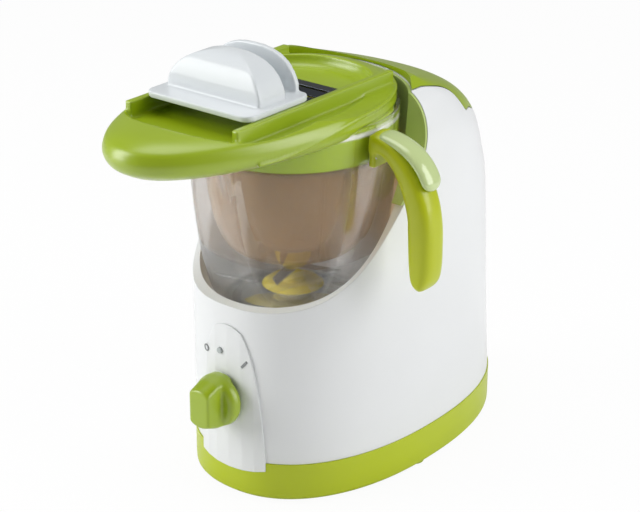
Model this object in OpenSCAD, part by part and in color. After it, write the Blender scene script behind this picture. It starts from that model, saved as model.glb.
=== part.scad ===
/* [Body] */
// Reach of the tower behind the well, to the rear of the footprint
tower_len = 110; // [95:1:135]
// How far the body is wider than the jug rim, each side
side_reach = 10; // [9:1:20]
// How far the jug rim overhangs the front of the body
front_step = 2; // [0:0.5:4]
// Height of the green plinth, feet included
plinth_h = 12; // [11:1:16]
// Height of the floor that the jug stands on
well_z = 112; // [108:1:140]
// Height of the tower above the table
tower_h = 275; // [270:1:310]
// How far the rear leans forward at the shoulder
rear_lean = 16; // [0:1:24]
// Roundness of the footprint, 2 is an ellipse and 4 is nearly a box
outline_power = 2.26; // [2:0.02:3]
// Wall of the housing and of the cap
wall = 3; // [2:0.5:4]

/* [Jug] */
// Outer radius of the jug at its rim
jug_rim_r = 70; // [64:0.5:84]
// Height of the jug from foot to rim
jug_h = 150; // [140:1:156]
// Radius of the jug's foot ring
jug_foot_r = 44; // [38:1:48]
// Wall of the jug
jug_wall = 2.8; // [2:0.1:4]
// Reach of the pouring spout in front of the rim
spout_reach = 8; // [4:0.5:10]
// Width of the handle
handle_w = 21; // [18:0.5:26]
// Finger gap between handle and jug rim, at its widest
finger_gap = 29; // [26:1:40]
// Wall of the steam basket
basket_wall = 2; // [1.5:0.1:3]

/* [Lid] */
// Length of the slicing lid, front to back
lid_len = 231; // [215:1:260]
// Half width of the lid at its middle
lid_half_w = 67.8; // [62:0.2:76]
// Height of the lid
lid_h = 26; // [20:0.5:30]
// Depth of the tray in the lid
tray_depth = 9; // [6:0.5:12]
// Distance of each rail from the middle
rail_x = 44; // [40:0.5:48]
// Length of the food pusher's plate
pusher_len = 60; // [50:1:70]
// Travel of the pusher towards the tower
pusher_travel = 68; // [50:1:72]

/* [Drive and controls] */
// Diameter of the control knob
knob_d = 37; // [34:1:46]
// Height of the control knob's centre
knob_z = 73; // [64:1:76]
// Outer radius of the motor frame
motor_r = 36; // [32:1:38]
// Radius of the motor shaft
shaft_r = 4; // [3:0.25:5]
// Radius of the boiler
boiler_r = 28; // [22:1:30]

/* [Hidden] */

$fn = 96;
// Step between the points of a computed outline, in degrees
outline_step = 6;
// Points on each computed curve
curve_points = 10;
// Gap between pieces that only lie near each other
gap = 0.3;
// Radial clearance of a shaft in its bearing or bush
running_fit = 0.05;

// Footprint and axes
// Gap between jug and well, at the jug's foot and at its rim
well_gap_base = 1.5;
well_gap_top = 7;
well_r = jug_rim_r + well_gap_top;
body_len = jug_rim_r - front_step + well_r + tower_len;
half_len = body_len / 2;
half_wid = jug_rim_r + side_reach;
jug_y = -half_len + jug_rim_r - front_step;
tower_y = jug_y + well_r;
housing_inset = 0.8;
rim_lip = 4;
jug_top = well_z + jug_h;
floor_t = wall;

// A point of a cubic curve through four control points
function curve_at(p, t) =
    pow(1 - t, 3) * p[0] + 3 * pow(1 - t, 2) * t * p[1]
    + 3 * (1 - t) * pow(t, 2) * p[2] + pow(t, 3) * p[3];
// Points of that curve, both ends included
function curve(p, count = curve_points) =
    [for (i = [0 : count]) curve_at(p, i / count)];
function signed_power(v, e) = sign(v) * pow(abs(v), e);
// Rounded outline, with its own reach to the front and to the rear
function outline(w, front, rear, n = outline_power) = [
    for (a = [0 : outline_step : 359]) [
        w * signed_power(cos(a), 2 / n),
        (sin(a) < 0 ? front : rear) * signed_power(sin(a), 2 / n)
    ]
];

// Body slices: height, half width, and reach to the front and to the rear
shoulder_z = 180;
rear_y = half_len - housing_inset;
front_y = -half_len + housing_inset;
body_w = half_wid - housing_inset;
shoulder_rear = rear_y - rear_lean;
slice_t = 1;
body_slices = [
    [plinth_h, body_w, -front_y, rear_y],
    [shoulder_z, body_w, -front_y, shoulder_rear],
    [tower_h - 65, body_w - 0.5, -front_y - 6, shoulder_rear - 9],
    [tower_h - 43, body_w - 1.5, -front_y - 12, shoulder_rear - 20],
    [tower_h - 27, body_w - 4, -front_y - 20, shoulder_rear - 36],
    [tower_h - 15, body_w - 8.5, -front_y - 30, shoulder_rear - 57],
    [tower_h - 7, body_w - 15, -front_y - 44, shoulder_rear - 80],
    [tower_h - slice_t, body_w - 26, -front_y - 64, shoulder_rear - 104]
];

// Front edge of the tower, seen from the side
edge_low = [
    [-half_len - 2, well_z + 27.5],
    [jug_y - 22, well_z + 30],
    [jug_y - 2, well_z + 64],
    [jug_y + 24, well_z + 94]
];
edge_high = [
    [jug_y + 24, well_z + 94],
    [jug_y + 45, well_z + 118],
    [jug_y + 51, tower_h - 28],
    [jug_y + 44, tower_h + 2]
];
// Parting line between housing and tank cap, seen from the side
hinge_y = rear_y - rear_lean - 16.5;
hinge_z = tower_h - 46;
cap_line = [
    [-half_len, tower_h],
    [jug_y + 45, tower_h - 2.5],
    [jug_y + 58, tower_h - 5],
    [jug_y + 72, tower_h - 7.5],
    [jug_y + 82, tower_h - 14],
    [jug_y + 91, tower_h - 22.5],
    [hinge_y - 44, hinge_z + 14.5],
    [hinge_y - 25, hinge_z + 6],
    [hinge_y - 3, hinge_z + 2.5],
    [rear_y + 20, hinge_z + 2.5]
];
far = 400;

// Jug profile: radius and height of its outer wall
jug_foot_z = well_z + 1;
jug_floor_z = well_z + 12;
jug_curve = [
    [jug_foot_r + 2, jug_floor_z - 1],
    [jug_foot_r + 14, jug_floor_z],
    [jug_rim_r - 3, jug_floor_z + 46],
    [jug_rim_r, jug_top]
];
function well_gap_at(t) = well_gap_base + (well_gap_top - well_gap_base) * t;
well_profile = [
    for (i = [0 : curve_points])
        let (t = i / curve_points, p = curve_at(jug_curve, t))
            [p[0] + well_gap_at(t), p[1]]
];

// The well: space of the jug, grown all round by a margin
module well_space(grow = 0) {
    translate([0, jug_y, 0])
        rotate_extrude()
            polygon(concat(
                [[0, well_z - grow], [well_profile[0][0] + grow, well_z - grow]],
                [for (p = well_profile) [p[0] + grow, p[1]]],
                [[well_r + grow, far], [0, far]]
            ));
}
// A side view outline, extruded right across the body
module across(width = 2 * half_wid + 60) {
    rotate([90, 0, 90])
        translate([0, 0, -width / 2])
            linear_extrude(width) children();
}
// The space in front of the tower, above the body's shoulder line
module tower_front_space(grow = 0) {
    across()
        offset(delta = grow)
            polygon(concat(
                [[-far, well_z + 27.5]],
                curve(edge_low),
                curve(edge_high),
                [[jug_y + 44, far], [-far, far]]
            ));
}
module body_form(inset = 0) {
    hull()
        for (s = body_slices)
            translate([0, 0, s[0] - inset])
                linear_extrude(slice_t)
                    polygon(outline(s[1] - inset, s[2] - inset, s[3] - inset));
}
module above_cap_line(lift)
    across()
        polygon(concat(
            [for (p = cap_line) [p[0], p[1] + lift]],
            [[rear_y + 20, far], [-half_len, far]]
        ));
// The tower's front wall stands up behind the well, to just under the cap's plate
bulkhead_z = tower_h - wall - 2.5;
module bulkhead_zone(margin)
    translate([0, jug_y, 0])
        cylinder(r = well_r + wall + margin, h = bulkhead_z + margin);
module body_void() {
    difference() {
        body_form(wall);
        well_space(wall);
        tower_front_space(rim_lip);
    }
}
module ring(outer, inner, height) {
    difference() {
        cylinder(r = outer, h = height);
        translate([0, 0, -1]) cylinder(r = inner, h = height + 2);
    }
}
// Children four times, at the corners of a rectangle
module corners(x, y) {
    for (sx = [-1, 1], sy = [-1, 1])
        translate([sx * x, sy * y, 0]) children();
}
// Children at the motor's four fixing points
motor_fix_r = motor_r + 7;
module motor_fixings() {
    for (a = [45 : 90 : 315])
        translate([motor_fix_r * cos(a), jug_y + motor_fix_r * sin(a), 0]) children();
}

// ---------------------------------------------------------------- base

foot_h = 2.5;
foot_r = 8;
foot_places = [
    [half_wid * 0.45, -half_len * 0.69],
    [half_wid - 11, -half_len * 0.09],
    [half_wid * 0.5, half_len * 0.69]
];
screw_r = 2;
screw_head_r = 3.8;
screw_clear = 0.2;
post_r = 6;
post_x = half_wid - 24;
post_y = half_len - 62;
post_h = 30;
plinth_floor = foot_h + 5;
boiler_y = tower_y + boiler_r + 2;
boiler_z = plinth_h + 26;
boiler_leg_r = 5;

module plinth_slice(z, inset)
    translate([0, 0, z]) linear_extrude(0.01)
        polygon(outline(half_wid - inset, half_len - inset, half_len - inset));
module base_plinth() color("yellowgreen") {
    difference() {
        hull() {
            plinth_slice(plinth_h - 0.01, 0);
            plinth_slice(foot_h + 5, 0);
            plinth_slice(foot_h + 2, 0.8);
            plinth_slice(foot_h, 3);
        }
        translate([0, 0, plinth_floor])
            linear_extrude(far)
                polygon(outline(half_wid - 6, half_len - 6, half_len - 6));
        at_feet()
            cylinder(r = foot_r + 0.1, h = foot_h + 2);
        corners(post_x, post_y)
            cylinder(r = screw_r + screw_clear, h = far);
        corners(post_x, post_y)
            cylinder(r = screw_head_r + screw_clear, h = foot_h + 2.5);
        for (i = [-4 : 4])
            translate([i * 7 - 1.5, jug_y - 20, 0]) cube([3, 40, 2 * foot_h]);
    }
    for (a = [30 : 120 : 270])
        translate([(boiler_r - 8) * cos(a), boiler_y + (boiler_r - 8) * sin(a), plinth_floor - 0.01])
            cylinder(r = boiler_leg_r, h = boiler_z - plinth_floor - 7.99);
}

// Three feet along each side, and one in the middle, at the part's origin
module at_feet() {
    for (s = [-1, 1], p = foot_places)
        translate([s * p[0], p[1], 0]) children();
    children();
}
module rubber_feet() color("olivedrab")
    at_feet() {
        cylinder(r1 = foot_r - 1, r2 = foot_r, h = 2);
        translate([0, 0, 2]) cylinder(r = foot_r, h = foot_h);
    }

module base_screws() color("silver")
    corners(post_x, post_y) {
        translate([0, 0, foot_h + 0.5]) cylinder(r = screw_head_r, h = 2);
        translate([0, 0, foot_h + 1]) cylinder(r = screw_r, h = 24);
    }

// -------------------------------------------------------------- housing

knob_shaft_r = 3;
knob_x = -3;
fascia_t = 1.2;
motor_post_z = 92;
shelf_z = well_z + 12;
shelf_t = 3;
tank_y = tower_y + wall + 20;
water_y = tank_y + 14;
steam_x = 0;
steam_r = 2.5;
steam_y = tower_y + wall + steam_r + 1.5;
water_x = 17;
water_r = 4;
nozzle_z = jug_top + 1;
knuckle_r = 4.5;
pin_r = 2;
pin_len = 56;
cap_knuckle_x = 14.5;
ear_in = cap_knuckle_x + 1;
ear_out = pin_len / 2 - 0.5;
interlock_a = 60;
interlock_reach = 30;
interlock_x = interlock_reach * cos(interlock_a);
interlock_y = jug_y + interlock_reach * sin(interlock_a);
interlock_r = 3;
cord_x = -38;
cord_z = 40;
cord_r = 6;
cord_bore_r = 3.5;
indicator_z = knob_z + 33;
indicator_x = knob_x - 3;
skin_gap = 0.05;
indicator_r = 2;
seal_r = 12;

module outer_housing() color("whitesmoke") {
    difference() {
        body_form();
        body_void();
        difference() {
            above_cap_line(-0.25);
            bulkhead_zone(0);
        }
        well_space();
        tower_front_space();
        translate([knob_x, front_y + wall + 1, knob_z])
            rotate([90, 0, 0]) cylinder(r = knob_shaft_r + 1, h = wall + 10);
        translate([indicator_x, front_y + wall + 4, indicator_z])
            rotate([90, 0, 0]) cylinder(r = indicator_r + 0.1, h = wall + 12);
        translate([0, jug_y, well_z - 10]) cylinder(r = seal_r, h = 20);
        translate([interlock_x, interlock_y, well_z - 10])
            cylinder(r = interlock_r + running_fit, h = 20);
        translate([0, tower_y + wall + 3, nozzle_z])
            rotate([90, 0, 0]) cylinder(r = steam_r + 1.1, h = wall + 8);
        translate([cord_x, far, cord_z])
            rotate([90, 0, 0]) cylinder(r = cord_r, h = far - rear_y + rear_lean + 60);
        hinge_gap();
    }
    motor_posts();
    base_posts();
    board_posts();
    tank_shelf();
    hinge_ears();
}
module motor_posts()
    motor_fixings()
        translate([0, 0, motor_post_z])
            ring(5, 1.6, well_z - floor_t - motor_post_z + 0.5);
// Half width of the body's side wall, at its middle, at a place along its length
function side_at(y) =
    (body_w - wall / 2) * pow(1 - pow(y / rear_y, outline_power), 1 / outline_power);
module base_posts()
    for (sx = [0, 1], sy = [0, 1])
        mirror([sx, 0, 0]) mirror([0, sy, 0]) translate([post_x, post_y, 0]) difference() {
            union() {
                translate([0, 0, plinth_floor + gap]) cylinder(r = post_r, h = post_h);
                translate([-1, -1, plinth_h + 2])
                    cube([side_at(post_y) - post_x, 2, plinth_floor + post_h - plinth_h - 2]);
            }
            translate([0, 0, plinth_floor - 1]) cylinder(r = screw_r + 0.05, h = 24);
        }
board_post_x = 16;
module board_posts()
    for (s = [-1, 1])
        translate([s * board_post_x, board_y, indicator_z + 1])
            rotate([90, 0, 0]) cylinder(r = 2, h = board_y - front_y - wall + 0.5);
module tank_shelf()
    difference() {
        intersection() {
            body_form(wall - 0.5);
            translate([-half_wid, tower_y + wall + 2, shelf_z])
                cube([2 * half_wid, tower_len, shelf_t]);
        }
        translate([steam_x, steam_y, 0]) cylinder(r = steam_r + 1, h = far);
        translate([water_x, water_y, 0]) cylinder(r = water_r + 1, h = far);
    }
module knuckle(x0, x1) {
    translate([x0, hinge_y, hinge_z])
        rotate([0, 90, 0]) cylinder(r = knuckle_r, h = x1 - x0);
}
module hinge_bore(r) {
    translate([-half_wid, hinge_y, hinge_z])
        rotate([0, 90, 0]) cylinder(r = r, h = 2 * half_wid);
}
module hinge_gap()
    translate([-cap_knuckle_x - 0.5, hinge_y, hinge_z])
        rotate([0, 90, 0]) cylinder(r = knuckle_r + 1, h = 2 * cap_knuckle_x + 1);
module hinge_ears()
    difference() {
        for (s = [-1, 1]) {
            knuckle(s > 0 ? ear_in : -ear_out, s > 0 ? ear_out : -ear_in);
            translate([s > 0 ? ear_in : -ear_out, hinge_y - knuckle_r, hinge_z - 14])
                cube([ear_out - ear_in, knuckle_r + 2, 14]);
        }
        hinge_bore(pin_r + 0.02);
    }

module seat_ring() color("dimgray")
    translate([0, jug_y, well_z])
        ring(jug_foot_r + 1, jug_foot_r - 7, jug_foot_z - well_z);

fascia_top = well_z + 14;
fascia_bottom = plinth_h + 12;
module fascia_outline()
    polygon(concat(
        curve([[-9, fascia_top - 2], [-4, fascia_top + 1], [4, fascia_top + 1], [9, fascia_top - 2]]),
        curve([[12, fascia_top - 4], [20, knob_z + 35], [24, knob_z + 14], [27.5, fascia_bottom + 6]]),
        curve([[27.5, fascia_bottom], [12, fascia_bottom - 4], [-12, fascia_bottom - 4],
            [-27.5, fascia_bottom]]),
        curve([[-27.5, fascia_bottom + 6], [-24, knob_z + 14], [-20, knob_z + 35],
            [-12, fascia_top - 4]])
    ));
module front_skin(from, thick)
    difference() {
        linear_extrude(far)
            polygon(outline(body_w + from + thick, -front_y + from + thick, rear_y));
        translate([0, 0, -1]) linear_extrude(far + 2)
            polygon(outline(body_w + from, -front_y + from, rear_y));
    }
module facing_front(depth)
    translate([0, -half_len + depth, 0])
        rotate([90, 0, 0]) linear_extrude(depth + 40) children();

module control_fascia() color("ghostwhite")
    difference() {
        intersection() {
            front_skin(skin_gap, fascia_t);
            facing_front(40) fascia_outline();
        }
        translate([knob_x, 0, knob_z]) rotate([90, 0, 0])
            cylinder(r = knob_shaft_r + 1, h = far);
        translate([indicator_x, 0, indicator_z]) rotate([90, 0, 0])
            cylinder(r = indicator_r + 0.1, h = far);
    }
module scale_marks() color("gray")
    intersection() {
        front_skin(fascia_t + skin_gap, 0.4);
        facing_front(40) {
            translate([knob_x - 17, indicator_z - 3]) difference() {
                circle(r = 2.6);
                circle(r = 1.5);
            }
            translate([knob_x + 17, indicator_z - 5]) rotate(-40) translate([-0.8, -3.2])
                square([1.6, 6.4]);
        }
    }
module indicator_lens() color("tomato")
    translate([indicator_x, front_y + 7, indicator_z])
        rotate([90, 0, 0]) cylinder(r = indicator_r, h = 9.2);

switch_y = front_y + wall + 3;
switch_len = 18;
module selector_switch() color("dimgray")
    difference() {
        union() {
            translate([knob_x - 14, switch_y, knob_z - 13]) cube([28, switch_len, 22]);
            translate([knob_x, switch_y + 0.01, knob_z])
                rotate([90, 0, 0]) cylinder(r = 6.5, h = 2.4);
            for (x = [-8, 0, 8])
                translate([knob_x + x - 2, switch_y + switch_len, knob_z - 8]) cube([4, 5, 0.8]);
        }
        translate([knob_x, switch_y + switch_len - 3, knob_z])
            rotate([90, 0, 0]) cylinder(r = knob_shaft_r + running_fit, h = 60);
    }
board_y = front_y + wall + 6;
module control_board() color("seagreen") {
    translate([-20, board_y, indicator_z - 9]) cube([40, 1.6, 13]);
    translate([-12, board_y + 1.6, indicator_z - 6]) cube([10, 5, 7]);
    translate([4, board_y + 1.6, indicator_z - 6]) cube([7, 3, 6]);
}

// ---------------------------------------------------------------- motor

frame_z = plinth_h + 21;
frame_top = motor_post_z - 4;
bearing_h = 6;
bearing_r = 9;
shaft_bottom = plinth_floor + 6;

module motor_frame() color("slategray")
    translate([0, jug_y, 0]) difference() {
        union() {
            translate([0, 0, frame_z]) cylinder(r = motor_r, h = frame_top - frame_z);
            translate([0, 0, frame_top - 3])
                for (a = [45 : 90 : 315])
                    rotate(a) translate([motor_r - 6, -6, 0]) cube([19, 12, 3]);
        }
        translate([0, 0, frame_z + bearing_h])
            cylinder(r = motor_r - 2, h = frame_top - frame_z - 2 * bearing_h);
        translate([0, 0, frame_z - 1]) cylinder(r = bearing_r, h = bearing_h);
        translate([0, 0, frame_top - bearing_h + 1]) cylinder(r = bearing_r, h = bearing_h);
        translate([0, 0, frame_z - 1]) cylinder(r = shaft_r + 1.5, h = far);
        for (a = [45 : 90 : 315])
            rotate(a) translate([motor_fix_r, 0, 0]) cylinder(r = 2.2, h = far);
        for (a = [0 : 90 : 270])
            rotate(a) translate([motor_r - 20, -9, frame_z + 16]) cube([40, 18, 16]);
    }
stator_h = 30;
stator_z = frame_z + bearing_h + 3;
rotor_r = 23.5;
module motor_stator() color("darkgoldenrod")
    translate([0, jug_y, stator_z]) {
        ring(motor_r - 2, rotor_r + 0.6, stator_h);
        for (a = [45 : 90 : 315])
            rotate(a) translate([rotor_r + 5, 0, stator_h - 0.01])
                rotate([0, 0, 90]) cube([16, 5, 4], center = true);
    }
module bearing_at(z)
    translate([0, jug_y, z]) ring(bearing_r, shaft_r + running_fit, bearing_h - 1);
module upper_bearing() color("silver") bearing_at(frame_top - bearing_h + 1);
module lower_bearing() color("silver") bearing_at(frame_z);
module motor_grommets() color("black")
    motor_fixings() translate([0, 0, frame_top]) ring(5, 2.2, motor_post_z - frame_top);
module motor_screws() color("silver")
    motor_fixings() {
        translate([0, 0, frame_top - 5.5]) cylinder(r = 3.6, h = 2.5);
        translate([0, 0, frame_top - 3.5]) cylinder(r = 1.55, h = 17);
    }
module shaft_seal() color("black")
    translate([0, jug_y, well_z - floor_t])
        ring(seal_r, shaft_r + running_fit, floor_t);
module motor_shaft() color("silver")
    translate([0, jug_y, shaft_bottom]) cylinder(r = shaft_r, h = shaft_top - shaft_bottom);
module rotor_core() color("peru")
    translate([0, jug_y, stator_z]) ring(rotor_r, shaft_r, stator_h);
fan_h = frame_z - 3 - shaft_bottom - 2;
module cooling_fan() color("dimgray")
    translate([0, jug_y, shaft_bottom + 2]) {
        ring(9, shaft_r, fan_h);
        for (a = [0 : 45 : 315])
            rotate(a) translate([8, -0.8, 0]) cube([motor_r - 12, 1.6, fan_h]);
        ring(motor_r - 3, 8, 1.2);
    }
coupling_z = well_z + 1.5;
coupling_h = 6;
shaft_top = coupling_z + coupling_h;
coupling_r = 11;
coupling_teeth = 6;
module coupling_form(r, tooth_r, height) {
    cylinder(r = r, h = height);
    for (a = [0 : 360 / coupling_teeth : 359])
        rotate(a) translate([r - 0.5, 0, 0]) cylinder(r = tooth_r, h = height, $fn = 24);
}
module drive_coupling() color("white")
    translate([0, jug_y, coupling_z])
        difference() {
            coupling_form(coupling_r - 2.5, 2.2, coupling_h);
            translate([0, 0, -1]) cylinder(r = shaft_r, h = far);
        }

// ------------------------------------------------------- steam and water

boiler_h = 50;
heater_h = 8;
module boiler() color("gainsboro")
    translate([0, boiler_y, boiler_z]) difference() {
        union() {
            cylinder(r = boiler_r, h = boiler_h);
            translate([0, steam_y - boiler_y, boiler_h - 5]) cylinder(r = steam_r + 2, h = 11);
            translate([water_x, water_y - boiler_y, boiler_h - 5])
                cylinder(r = water_r + 2, h = 11);
        }
        translate([0, 0, 2]) cylinder(r = boiler_r - 2, h = boiler_h - 4);
        translate([0, steam_y - boiler_y, boiler_h - 3]) cylinder(r = steam_r, h = 10);
        translate([water_x, water_y - boiler_y, boiler_h - 3]) cylinder(r = water_r, h = 10);
    }
module boiler_heater() color("darkorange")
    translate([0, boiler_y, boiler_z - heater_h]) {
        cylinder(r = boiler_r - 2, h = heater_h - 0.1);
        for (x = [-6, 6])
            translate([x - 2, boiler_r - 3, 2]) cube([4, 9, 0.8]);
    }
module thermostat() color("black")
    translate([-12, boiler_y + 6, boiler_z + boiler_h + 0.1]) {
        cylinder(r = 8, h = 7);
        for (x = [-4, 4])
            translate([x - 1.5, -0.4, 6.9]) cube([3, 0.8, 6]);
    }
module thermal_fuse() color("ivory")
    translate([-boiler_r - 2.6, boiler_y, boiler_z + 12]) cylinder(r = 2.5, h = 20);

tank_bottom = shelf_z + shelf_t;
tank_top = hinge_z + 2;
tank_wall = 2.5;
tank_rear = rear_y - rear_lean - 27;
tank_w = body_w - 10;
module tank_outline(inset)
    intersection() {
        polygon(outline(tank_w - inset, half_len, tank_rear - inset));
        translate([-half_wid, tank_y + inset]) square([2 * half_wid, half_len]);
    }
module water_tank() color("lightcyan")
    difference() {
        union() {
            translate([0, 0, tank_bottom])
                linear_extrude(tank_top - tank_bottom) tank_outline(0);
            translate([water_x, water_y, tank_bottom - shelf_t - 4])
                cylinder(r = water_r + 0.8, h = shelf_t + 4.01);
        }
        translate([0, 0, tank_bottom + tank_wall])
            linear_extrude(far) tank_outline(tank_wall);
        translate([water_x, water_y, 0]) cylinder(r = water_r - 1, h = far / 2);
    }
pipe_bottom = boiler_z + boiler_h + 6;
module water_pipe() color("white")
    translate([water_x, water_y, pipe_bottom])
        ring(water_r + 1.6, water_r - 1, tank_bottom - shelf_t - 4 - pipe_bottom);
module steam_pipe() color("white")
    difference() {
        union() {
            translate([steam_x, steam_y, pipe_bottom])
                cylinder(r = steam_r, h = nozzle_z - pipe_bottom);
            translate([steam_x, steam_y, nozzle_z]) sphere(r = steam_r);
            translate([steam_x, steam_y, nozzle_z])
                rotate([90, 0, 0]) cylinder(r = steam_r - 0.02, h = steam_y - tower_y);
        }
        translate([steam_x, steam_y, pipe_bottom - 1])
            cylinder(r = steam_r - 1.2, h = nozzle_z - pipe_bottom + 1);
        translate([steam_x, steam_y, nozzle_z]) sphere(r = steam_r - 1.2);
        translate([steam_x, steam_y + 0.01, nozzle_z])
            rotate([90, 0, 0]) cylinder(r = steam_r - 1.2, h = steam_y);
    }
panel_t = 2;
panel_z = well_z + 90;
module steam_nozzle() color("dimgray")
    translate([steam_x, tower_y + wall, nozzle_z]) rotate([90, 0, 0]) difference() {
        union() {
            cylinder(r = steam_r + 1, h = wall + panel_t);
            translate([0, 0, wall + panel_t - 0.01])
                cylinder(r1 = steam_r + 1, r2 = steam_r - 0.5, h = 1.5);
        }
        translate([0, 0, -1]) cylinder(r = steam_r, h = wall + 1);
        translate([0, 0, -1]) cylinder(r = 1.5, h = far);
    }
// A thin lining on the front of the tower, its side edges included
module tower_panel() color("olivedrab")
    difference() {
        intersection() {
            body_form(0.3);
            union() {
                well_space(-0.1);
                tower_front_space(-0.1);
            }
            translate([-half_wid, jug_y, panel_z])
                cube([2 * half_wid, half_len, bulkhead_z - 1 - panel_z]);
        }
        well_space(-panel_t);
        tower_front_space(-panel_t);
        translate([0, tower_y + 9, nozzle_z])
            rotate([90, 0, 0]) cylinder(r = steam_r + 1.1, h = far);
    }
module cap_hinge_pin() color("silver")
    translate([-pin_len / 2, hinge_y, hinge_z]) rotate([0, 90, 0])
        cylinder(r = pin_r, h = pin_len);
module interlock_switch() color("black")
    translate([interlock_x, interlock_y, well_z - 20]) {
        translate([-4, -9, 0]) cube([8, 20, 7]);
        translate([-4, 4, 6.9]) cube([8, 7, 10]);
    }
module cord_gland() color("dimgray")
    translate([cord_x, rear_y - 28.5, cord_z]) rotate([-90, 0, 0]) difference() {
        union() {
            cylinder(r = cord_r - 0.1, h = 28.5);
            cylinder(r = cord_r + 1.5, h = 3);
        }
        translate([0, 0, -1]) cylinder(r = cord_bore_r, h = far);
    }

// ---------------------------------------------------------- moving pieces

knob_y = front_y - fascia_t - 1;
knob_t = 11;
grip_t = 13.5;
bar_w = 17;
module control_knob() color("yellowgreen")
    translate([knob_x, knob_y, knob_z]) rotate([90, 0, 0]) difference() {
        union() {
            cylinder(r1 = knob_d / 2 - 3, r2 = knob_d / 2, h = 4);
            translate([0, 0, 4]) cylinder(r1 = knob_d / 2, r2 = knob_d / 2 - 2.5, h = knob_t - 4);
            intersection() {
                cylinder(r1 = knob_d / 2, r2 = knob_d / 2 - 5, h = knob_t + grip_t);
                translate([-bar_w / 2, -knob_d, 0]) cube([bar_w, 2 * knob_d, knob_t + grip_t]);
            }
        }
        translate([0, 0, -1]) cylinder(r = knob_shaft_r, h = knob_t + 1);
        translate([0, 0, -1]) ring(knob_d / 2 - 5, 7, knob_t - 2);
    }
module knob_shaft() color("ivory")
    translate([knob_x, switch_y + switch_len - 4, knob_z]) rotate([90, 0, 0])
        cylinder(r = knob_shaft_r, h = switch_y + switch_len - 4 - knob_y + knob_t);

module tank_cap() color("yellowgreen") {
    difference() {
        body_form();
        body_void();
        well_space();
        tower_front_space();
        difference() {
            translate([-far, -far, -1]) cube([2 * far, 2 * far, far + 1]);
            above_cap_line(0.25);
        }
        bulkhead_zone(0.5);
        for (s = [-1, 1])
            translate([s > 0 ? ear_in - 0.5 : -ear_out - 0.5, hinge_y, hinge_z]) rotate([0, 90, 0])
                cylinder(r = knuckle_r + 0.6, h = ear_out - ear_in + 1);
        hinge_bore(pin_r + running_fit);
    }
    difference() {
        union() {
            knuckle(-cap_knuckle_x, cap_knuckle_x);
            translate([-cap_knuckle_x, hinge_y - knuckle_r, hinge_z])
                cube([2 * cap_knuckle_x, 5, knuckle_r + 3]);
        }
        hinge_bore(pin_r + running_fit);
    }
}
module tank_gasket() color("dimgray")
    translate([0, 0, tank_top]) linear_extrude(2) difference() {
        tank_outline(0);
        tank_outline(tank_wall + 0.5);
    }
module interlock_pin() color("ivory")
    translate([interlock_x, interlock_y, well_z - 12.5]) cylinder(r = interlock_r, h = 16);

// --------------------------------------------------------------------- jug

lug_z = jug_top - 29;
lug_reach = 4;
handle_top = jug_top - 7;
handle_screw_z = handle_top - 12;
function jug_r_at(i) = curve_at(jug_curve, i / curve_points);
module jug_solid(inset, from)
    rotate_extrude()
        polygon(concat(
            [[0, from]],
            [for (i = [0 : curve_points])
                [max(jug_r_at(i)[0] - inset, 1), max(jug_r_at(i)[1], from)]],
            [[0, jug_top]]
        ));
module spout_form(inset)
    hull() {
        translate([0, -jug_rim_r - spout_reach + 3 + inset, jug_top - 0.5])
            cylinder(r = 3, h = 0.5 + (inset > 0 ? 1 : 0), $fn = 24);
        for (s = [-1, 1])
            translate([s * (19 - inset), -jug_rim_r + 8, jug_top - 0.5])
                cylinder(r = 3, h = 0.5 + (inset > 0 ? 1 : 0), $fn = 24);
        translate([0, -jug_rim_r + 9 + inset, jug_top - 52])
            sphere(r = 2, $fn = 16);
    }
module jug_bowl() color("aliceblue", 0.4)
    translate([0, jug_y, 0]) {
        difference() {
            union() {
                jug_solid(0, jug_floor_z - 1);
                spout_form(0);
            }
            difference() {
                jug_solid(jug_wall, jug_floor_z + 2);
                for (a = [45 : 90 : 315])
                    rotate(a) translate([jug_rim_r - jug_wall - lug_reach, -5, lug_z - 4])
                        cube([20, 10, 4]);
            }
            spout_form(jug_wall);
            cylinder(r = 7, h = far / 2);
        }
        translate([0, 0, jug_foot_z]) ring(jug_foot_r, jug_foot_r - 3, jug_floor_z - jug_foot_z);
        translate([interlock_x, interlock_y - jug_y, well_z + 4])
            cylinder(r = 3.5, h = jug_floor_z - well_z - 4);
    }
hx = jug_rim_r;
handle_tip = handle_top - 97;
handle_t = 19;
module handle_outline()
    polygon(concat(
        [[hx - 4, handle_top - 20], [hx - 4, handle_top + 2], [hx + 2, handle_top + 3]],
        curve([[hx + 4, handle_top + 3], [hx + 24, handle_top + 1],
            [hx + finger_gap + handle_t, handle_top - 22], [hx + finger_gap + handle_t, handle_top - 62]]),
        curve([[hx + finger_gap + handle_t, handle_top - 72], [hx + finger_gap + 18, handle_tip + 10],
            [hx + finger_gap + 15, handle_tip], [hx + finger_gap + 10, handle_tip]]),
        curve([[hx + finger_gap + 6, handle_tip], [hx + finger_gap + 2, handle_tip + 4],
            [hx + finger_gap + 1, handle_top - 80], [hx + finger_gap, handle_top - 55]]),
        curve([[hx + finger_gap, handle_top - 50], [hx + finger_gap - 3, handle_top - 30],
            [hx + 16, handle_top - 11], [hx + 5, handle_top - 11]]),
        [[hx + 3, handle_top - 20]]
    ));
module handle_extrusion(width)
    translate([0, jug_y + width / 2, 0]) rotate([90, 0, 0]) linear_extrude(width) children();
module pad_outline(grow)
    polygon(concat(
        curve([[hx + 3, handle_top + 3.6 + grow], [hx + 24, handle_top + 2.6 + grow],
            [hx + finger_gap + handle_t - 6 + grow, handle_top - 6],
            [hx + finger_gap + handle_t - 1 + grow, handle_top - 27]]),
        curve([[hx + finger_gap + handle_t - 6, handle_top - 26],
            [hx + finger_gap + handle_t - 11, handle_top - 11],
            [hx + 22, handle_top - 2], [hx + 3, handle_top - 0.4]])
    ));
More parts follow.
